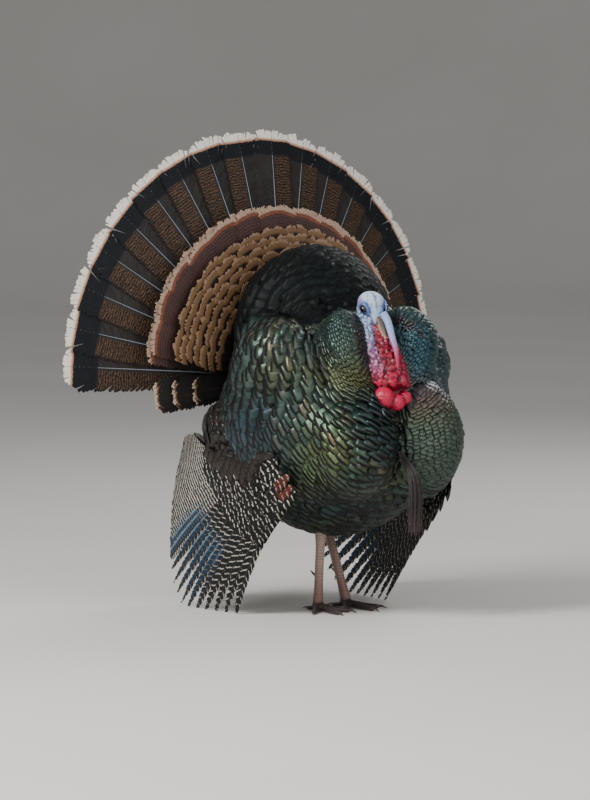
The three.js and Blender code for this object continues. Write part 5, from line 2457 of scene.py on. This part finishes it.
    def legs(self) -> tuple:
        """Legs and feet, with their scales.

        Returns:
            Their points, faces, colours and wetness.
        """
        flesh = Flesh(self.leg_grain)
        shank, scale, dark = linear("#9c857b"), linear("#7c6056"), linear("#33282a")
        for x, y, hock, turn in self.stands:
            foot = (x, y, 15.0)
            mid = tuple((np.array(hock) + np.array(foot)) / 2)
            path = Path([(hock[0], hock[1] + 6, hock[2] + 34), hock, mid, foot])
            flesh.tube(path, shank_half, Fade(shank, ((0.5, 1.0, scale),)).at, 0.2)
            flesh.ball((x, y, 10.6), 10.6, dark, 0.1, (1, 1, 0.85))
            for angle, length, r in self.toes:
                a = math.radians(turn + angle)
                dx, dy = -math.sin(a), -math.cos(a)
                line = [(0, 10), (length * 0.3, r * 1.15), (length * 0.65, r * 0.78), (length, r * 0.62)]
                toe = Path([(x + dx * s, y + dy * s, z) for s, z in line])
                flesh.tube(toe, partial(toe_half, r), Fade(dark).at, 0.1, (-dy, dx, 0))
        mesh = flesh.melt("leg_flesh")
        p, n = mesh_points(mesh), mesh_normals(mesh)
        p[:, 2] = np.maximum(p[:, 2], 0.0)
        paint, wet = flesh.colour(p)
        front = ease(-0.2, 0.4, -n[:, 1]) * ease(18, 30, p[:, 2])
        ring = 0.5 + 0.5 * np.sin(p[:, 2] / 5.2 * 2 * math.pi + 1.2 * noise(p / 14, 21))
        groove_shade = ease(0.35, 0.0, ring) * front
        p = p + n * (0.45 * ease(0, 0.6, ring) * front)[:, None]
        pebble = ease(0.2, 0.6, noise(p / 3.0, 22)) * (1 - front)
        # painted shade in the grooves between the front scales, and a darker tone at random on the pebbled back
        paint = between(paint, paint * 0.5, np.clip(groove_shade * 0.8 + pebble * 0.25, 0, 1))
        p[:, 2] = np.maximum(p[:, 2], 0.0)
        return p, [tuple(q.vertices) for q in mesh.polygons], paint, wet


def mesh_points(mesh: bpy.types.Mesh) -> Array:
    """A mesh's points, in millimetres in the bird's own frame.

    Args:
        mesh: the mesh.

    Returns:
        The points (n, 3).
    """
    flat = np.empty(len(mesh.vertices) * 3, np.float32)
    mesh.vertices.foreach_get("co", flat)
    return (flat.reshape(-1, 3).astype(float) - SHIFT) / MM


def mesh_normals(mesh: bpy.types.Mesh) -> Array:
    """A mesh's outward directions at its points.

    Args:
        mesh: the mesh.

    Returns:
        The unit directions (n, 3).
    """
    flat = np.empty(len(mesh.vertices) * 3, np.float32)
    mesh.vertex_normals.foreach_get("vector", flat)
    return flat.reshape(-1, 3).astype(float)


# ---------------------------------------------------------------- eyes, bill, claws and beard


@dataclass
class Eyes:
    """Dark brown eyes behind a clear, wet cornea."""

    def material(self) -> bpy.types.Material:
        """Eye: wet and glassy, so it takes a sharp highlight over a deep brown iris.

        Returns:
            The material.
        """
        s = Shades("wet_dark_eye")
        ring = s.add(Do.READ, attribute_name="ring")
        iris = s.add(Do.BLEND, s.add(Do.STEP, ring, 0.55, 0.95), "#2a1710", "#150d0a")
        colour = s.add(Do.BLEND, s.add(Do.STEP, ring, 0.60, 0.56), iris, "#020203")
        colour = s.add(Do.BLEND, s.add(Do.STEP, ring, 0.98, 1.08), colour, "#1a1310")
        wet = {"Roughness": 0.12, "Coat Weight": 1.0, "Coat Roughness": 0.03, "IOR": 1.376}
        return s.finish({"Base Color": colour, **wet})

    def build(self) -> None:
        """Makes both."""
        finish = self.material()
        for side, name in ((-1, "right"), (1, "left")):
            out = unit(np.array([side, -0.28, 0.12]))
            p, faces = ball_mesh(40, 28)
            turn = Vector((0, 0, 1)).rotation_difference(Vector(out)).to_matrix()
            ring = np.arccos(np.clip(p[:, 2], -1, 1))
            bulge = 1 + 0.06 * np.exp(-((ring / 0.75) ** 2))
            local = (p * bulge[:, None]) @ np.array(turn).T * (EYE_RADIUS + 0.4)
            at = np.array([side * (EYE_AT[0] + 0.9), EYE_AT[1], EYE_AT[2]])
            mesh = bird_mesh("eyeball_" + name, on_head(local + at), faces)
            put_values(mesh, "ring", ring)
            face_out(mesh)
            dress(finished(mesh, "eyeball_" + name, True), finish, "eye", "eye_" + name)


@dataclass
class Bill:
    """The short stout bill, horn over bone, its upper half hooked over the lower."""

    start: float = 36.0
    tip: float = 83.0
    base: float = 11.5
    drop: float = 9.0

    def material(self) -> bpy.types.Material:
        """Bill horn: smooth keratin with faint growth lines, paler at the tip.

        Returns:
            The material.
        """
        s = Shades("bill_horn")
        share = s.add(Do.READ, attribute_name="share")
        where = s.add(Do.PLACE)
        fine = s.add(Do.NOISE, where, 420.0, 3.0)
        colour = s.add(Do.BLEND, s.add(Do.STEP, share, 0.25, 0.9), "#8d7767", "#dccb9f")
        colour = s.add(Do.BLEND, s.add(Do.READ, attribute_name="ridge"), colour, "#4b4340")
        colour = s.add(Do.BLEND, s.add(Do.MULTIPLY, s.add(Do.STEP, fine, 0.4, 0.7), 0.35), colour, "#6d5142")
        # the nostril painted near-black: painted shade in its opening
        colour = s.add(Do.BLEND, s.add(Do.READ, attribute_name="hole"), colour, "#1a1010")
        bump = s.add(Do.BUMP, 0.2, 0.0004, fine)
        return s.finish({"Base Color": colour, "Roughness": 0.38, "Normal": bump})

    def build(self) -> None:
        """Makes both halves."""
        finish = self.material()
        for name, lift, share, thin in (("bill_upper", 0.0, 1.0, 1.0), ("bill_lower", -6.2, 0.8, 0.66)):
            length = (self.tip - self.start) * share
            hook = 1.0 if lift == 0 else 0.4
            bends = ((-0.2, 0), (0, 0), (0.55, 0.3), (1, hook))
            path = Path([on_head((0, -self.start - length * k, lift - self.drop * d)) for k, d in bends])
            points, faces = loft(path, np.linspace(0, 1, 40), partial(self.half, thin=thin), (1, 0, 0), 28)
            q = (points - HEAD[:3, 3]) @ HEAD[:3, :3]
            run = np.clip((-q[:, 1] - self.start) / length, 0, 1)
            n = unit(q - np.stack([0 * run, q[:, 1], lift - self.drop * run**1.6], axis=1))
            hole = np.zeros(len(q))
            if lift == 0:
                # the nostril: a shallow dent, painted near-black as the shade in its opening
                spot = np.abs(np.stack([(run - 0.16) / 0.10, (q[:, 2] - 1.2) / 1.5], axis=1))
                hole = ease(1.2, 0.6, np.linalg.norm(spot, axis=1)) * ease(2, 4, np.abs(q[:, 0]))
                q[:, 0] -= np.sign(q[:, 0]) * hole * 1.3
            mesh = bird_mesh(name + "_horn", on_head(q), faces)
            put_values(mesh, "share", run)
            put_values(mesh, "hole", hole)
            put_values(mesh, "ridge", 0.8 * ease(0.3, 0.9, n[:, 2]) * ease(1.0, 0.6, run) * (lift == 0))
            face_out(mesh)
            dress(finished(mesh, name + "_horn", True), finish, "bill_horn", name)

    def half(self, t: float, thin: float) -> tuple:
        """Half the width and half the depth along one half of the bill."""
        taper = self.base * thin * math.sqrt(max(1 - t * 0.98, 0.015))
        return taper * 0.8, taper * 0.6


@dataclass
class Claws:
    """Claws and spurs, which keep their solids."""

    def build(self) -> None:
        """Gives each its horn."""
        s = Shades("dark_claw_horn")
        where = s.add(Do.PLACE)
        fine = s.add(Do.NOISE, where, 500.0, 3.0)
        colour = s.add(Do.BLEND, s.add(Do.STEP, fine, 0.35, 0.7), "#2c231f", "#54443a")
        bump = s.add(Do.BUMP, 0.2, 0.0004, fine)
        finish = s.finish({"Base Color": colour, "Roughness": 0.35, "Normal": bump})
        for name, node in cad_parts.items():
            if name.startswith(("claw_", "spur_")):
                node.data.materials.clear()
                node.data.materials.append(finish)
                node.data.polygons.foreach_set("use_smooth", np.full(len(node.data.polygons), True))


@dataclass
class Beard:
    """The beard: a hank of coarse bristles that hangs from the breast."""

    line: tuple = ((0, -176, 292), (6, -212, 245), (14, -203, 150))
    width: float = 17.0
    depth: float = 8.0
    bristles: int = 150

    def material(self) -> bpy.types.Material:
        """Beard bristle: stiff, dull, grey-brown, purple-brown towards the tip.

        Returns:
            The material.
        """
        s = Shades("beard_bristle")
        _, along = s.vane()
        seed = s.add(Do.READ, attribute_name="seed")
        grey = s.add(Do.BLEND, s.add(Do.FRACT, seed), "#1b1716", "#4b4340")
        colour = s.add(Do.BLEND, s.add(Do.STEP, along, 0.7, 1.0), grey, "#4c3a3c")
        return s.finish({"Base Color": colour, "Roughness": 0.55})

    def build(self) -> None:
        """Makes the hank."""
        rng = np.random.default_rng(SEED + 90)
        path = Path(self.line)
        sheaf = Sheaf()
        for k in range(self.bristles):
            a, r = rng.uniform(0, 2 * math.pi), math.sqrt(rng.uniform(0, 1))
            off = np.array([math.cos(a) * r, math.sin(a) * r])
            end = rng.uniform(0.72, 1.0) if k % 3 else rng.uniform(0.9, 1.0)
            t = np.linspace(0, end, 12)
            share = 0.3 + 0.7 * np.sin(math.pi * np.minimum(t * 0.72, 0.62))
            way = path.way(t)
            back = unit(np.cross(way, [1.0, 0, 0]))
            wide = unit(np.cross(back, way))
            sway = np.cumsum(rng.normal(0, 0.35, (12, 2)), axis=0) * 0.5
            middle = path.along(t) + wide * (off[0] * self.width * 0.85 * share + sway[:, 0])[:, None]
            middle = middle + back * (off[1] * self.depth * 0.85 * share + sway[:, 1])[:, None]
            thick = rng.uniform(0.45, 0.75) * (1 - 0.5 * t)
            ring = np.arange(4) / 4 * 2 * math.pi
            p = (
                middle[:, None, :]
                + np.cos(ring)[None, :, None] * wide[:, None, :] * thick[:, None, None]
                + np.sin(ring)[None, :, None] * back[:, None, :] * thick[:, None, None]
            ).reshape(-1, 3)
            i = np.arange(4)
            j = np.roll(i, -1)
            wall = np.stack([i, j, 4 + j, 4 + i], axis=1)
            faces = [wall + r * 4 for r in range(11)]
            faces += [np.array([[0, 1, 2, 3]]), np.array([[47, 46, 45, 44]])]
            vane = np.stack([np.tile(ring / 6.3, 12), np.repeat(t, 4)], axis=1)
            patch = np.array([(k % 13) / 13, (k // 13) / 13])
            sheaf.add(p, faces, vane, patch + vane * 0.06, seed=np.full(len(p), rng.uniform(0, 50)))
        dress(sheaf.build("beard_bristles"), self.material(), "beard_bristle", "beard")


# ---------------------------------------------------------------- stage


@dataclass(frozen=True)
class Studio:
    """A pale floor, soft lights and the camera."""

    turn: float = 33.0
    rise: float = 4.0
    away: float = 9.0
    lens: float = 231.4
    across: float = -0.0835
    up: float = 0.369

    def build(self) -> None:
        """Sets the stage."""
        self.floor()
        self.lights()
        self.camera()

    def floor(self) -> None:
        """A pale floor that sweeps up into a backdrop all round, beyond the camera."""
        mesh = bpy.data.meshes.new("floor")
        flat, bend, top, sides = 10.5, 2.5, 7.0, 64
        bow = np.linspace(0, math.pi / 2, 10)
        reach = np.concatenate([[1.0, 4.0, flat], flat + bend * np.sin(bow[1:]), [flat + bend]])
        height = np.concatenate([[0.0, 0.0, 0.0], bend * (1 - np.cos(bow[1:])), [top]])
        a = np.arange(sides) / sides * 2 * math.pi
        ring = np.stack([np.cos(a), np.sin(a), np.zeros(sides)], axis=1)
        points = ring[None] * reach[:, None, None] + height[:, None, None] * np.array([0, 0, 1])
        faces = [tuple(range(sides))]
        for r in range(len(reach) - 1):
            for k in range(sides):
                n = (k + 1) % sides
                faces.append((r * sides + k, (r + 1) * sides + k, (r + 1) * sides + n, r * sides + n))
        mesh.from_pydata(points.reshape(-1, 3).tolist(), [], faces)
        floor = finished(mesh, "floor", True)
        s = Shades("matt_studio_paper")
        where = s.add(Do.PLACE)
        tone = s.add(Do.BLEND, s.add(Do.NOISE, where, 1.3, 3.0), "#c9c5be", "#d6d2cb")
        floor.data.materials.append(s.finish({"Base Color": tone, "Roughness": 0.9}))

    def lights(self) -> None:
        """A broad key from the upper left, a fill and a low front light, and a soft sky."""
        turn = math.radians(self.turn)
        away, aim = 3.0, Vector((0, 0, 0.42))
        for name, azimuth, height, size, power in (
            ("key", -50, 2.8, 1.6, 175),
            ("fill", 42, 1.7, 2.6, 34),
            ("front", -6, 1.2, 1.8, 20),
            ("rim", 150, 2.4, 1.6, 38),
        ):
            lamp = bpy.data.lights.new(name, "AREA")
            lamp.shape, lamp.size, lamp.energy = "DISK", size, power
            made = bpy.data.objects.new(name, lamp)
            a = math.radians(azimuth) - turn
            where = Vector((math.sin(a) * away, -math.cos(a) * away, height))
            made.location = where
            made.rotation_euler = (aim - where).to_track_quat("-Z", "Y").to_euler()
            made.visible_camera = False
            bpy.context.scene.collection.objects.link(made)
        world = bpy.data.worlds.new("soft_sky")
        world.use_nodes = True
        sky = world.node_tree.nodes["Background"]
        sky.inputs[0].default_value = (*linear("#dfe3ea"), 1)
        sky.inputs[1].default_value = 0.5
        bpy.context.scene.world = world

    def camera(self) -> None:
        """The camera, far off with a long lens."""
        a, e = -math.radians(self.turn), math.radians(self.rise)
        back = Vector((math.sin(a) * math.cos(e), -math.cos(a) * math.cos(e), math.sin(e)))
        right = Vector((math.cos(a), math.sin(a), 0))
        high = back.cross(right)
        lens = bpy.data.cameras.new("camera")
        lens.lens, lens.sensor_width, lens.clip_end = self.lens, 36.0, 60.0
        camera = bpy.data.objects.new("camera", lens)
        camera.location = Vector(SHIFT) + back * self.away + right * self.across + high * self.up
        camera.rotation_mode = "QUATERNION"
        camera.rotation_quaternion = back.to_track_quat("Z", "Y")
        bpy.context.scene.collection.objects.link(camera)
        bpy.context.scene.camera = camera


def main() -> None:
    """Builds the bird."""
    Studio().build()
    scatter = Scatter()
    Coat().build(scatter)
    Tail().build()
    for name in ("right", "left"):
        wing = Wing(name)
        wing.build()
        WingShield(wing).build(scatter)
    Skin().build()
    Eyes().build()
    Bill().build()
    Claws().build()
    Beard().build()
    scatter.clear()


if __name__ == "__main__":
    main()
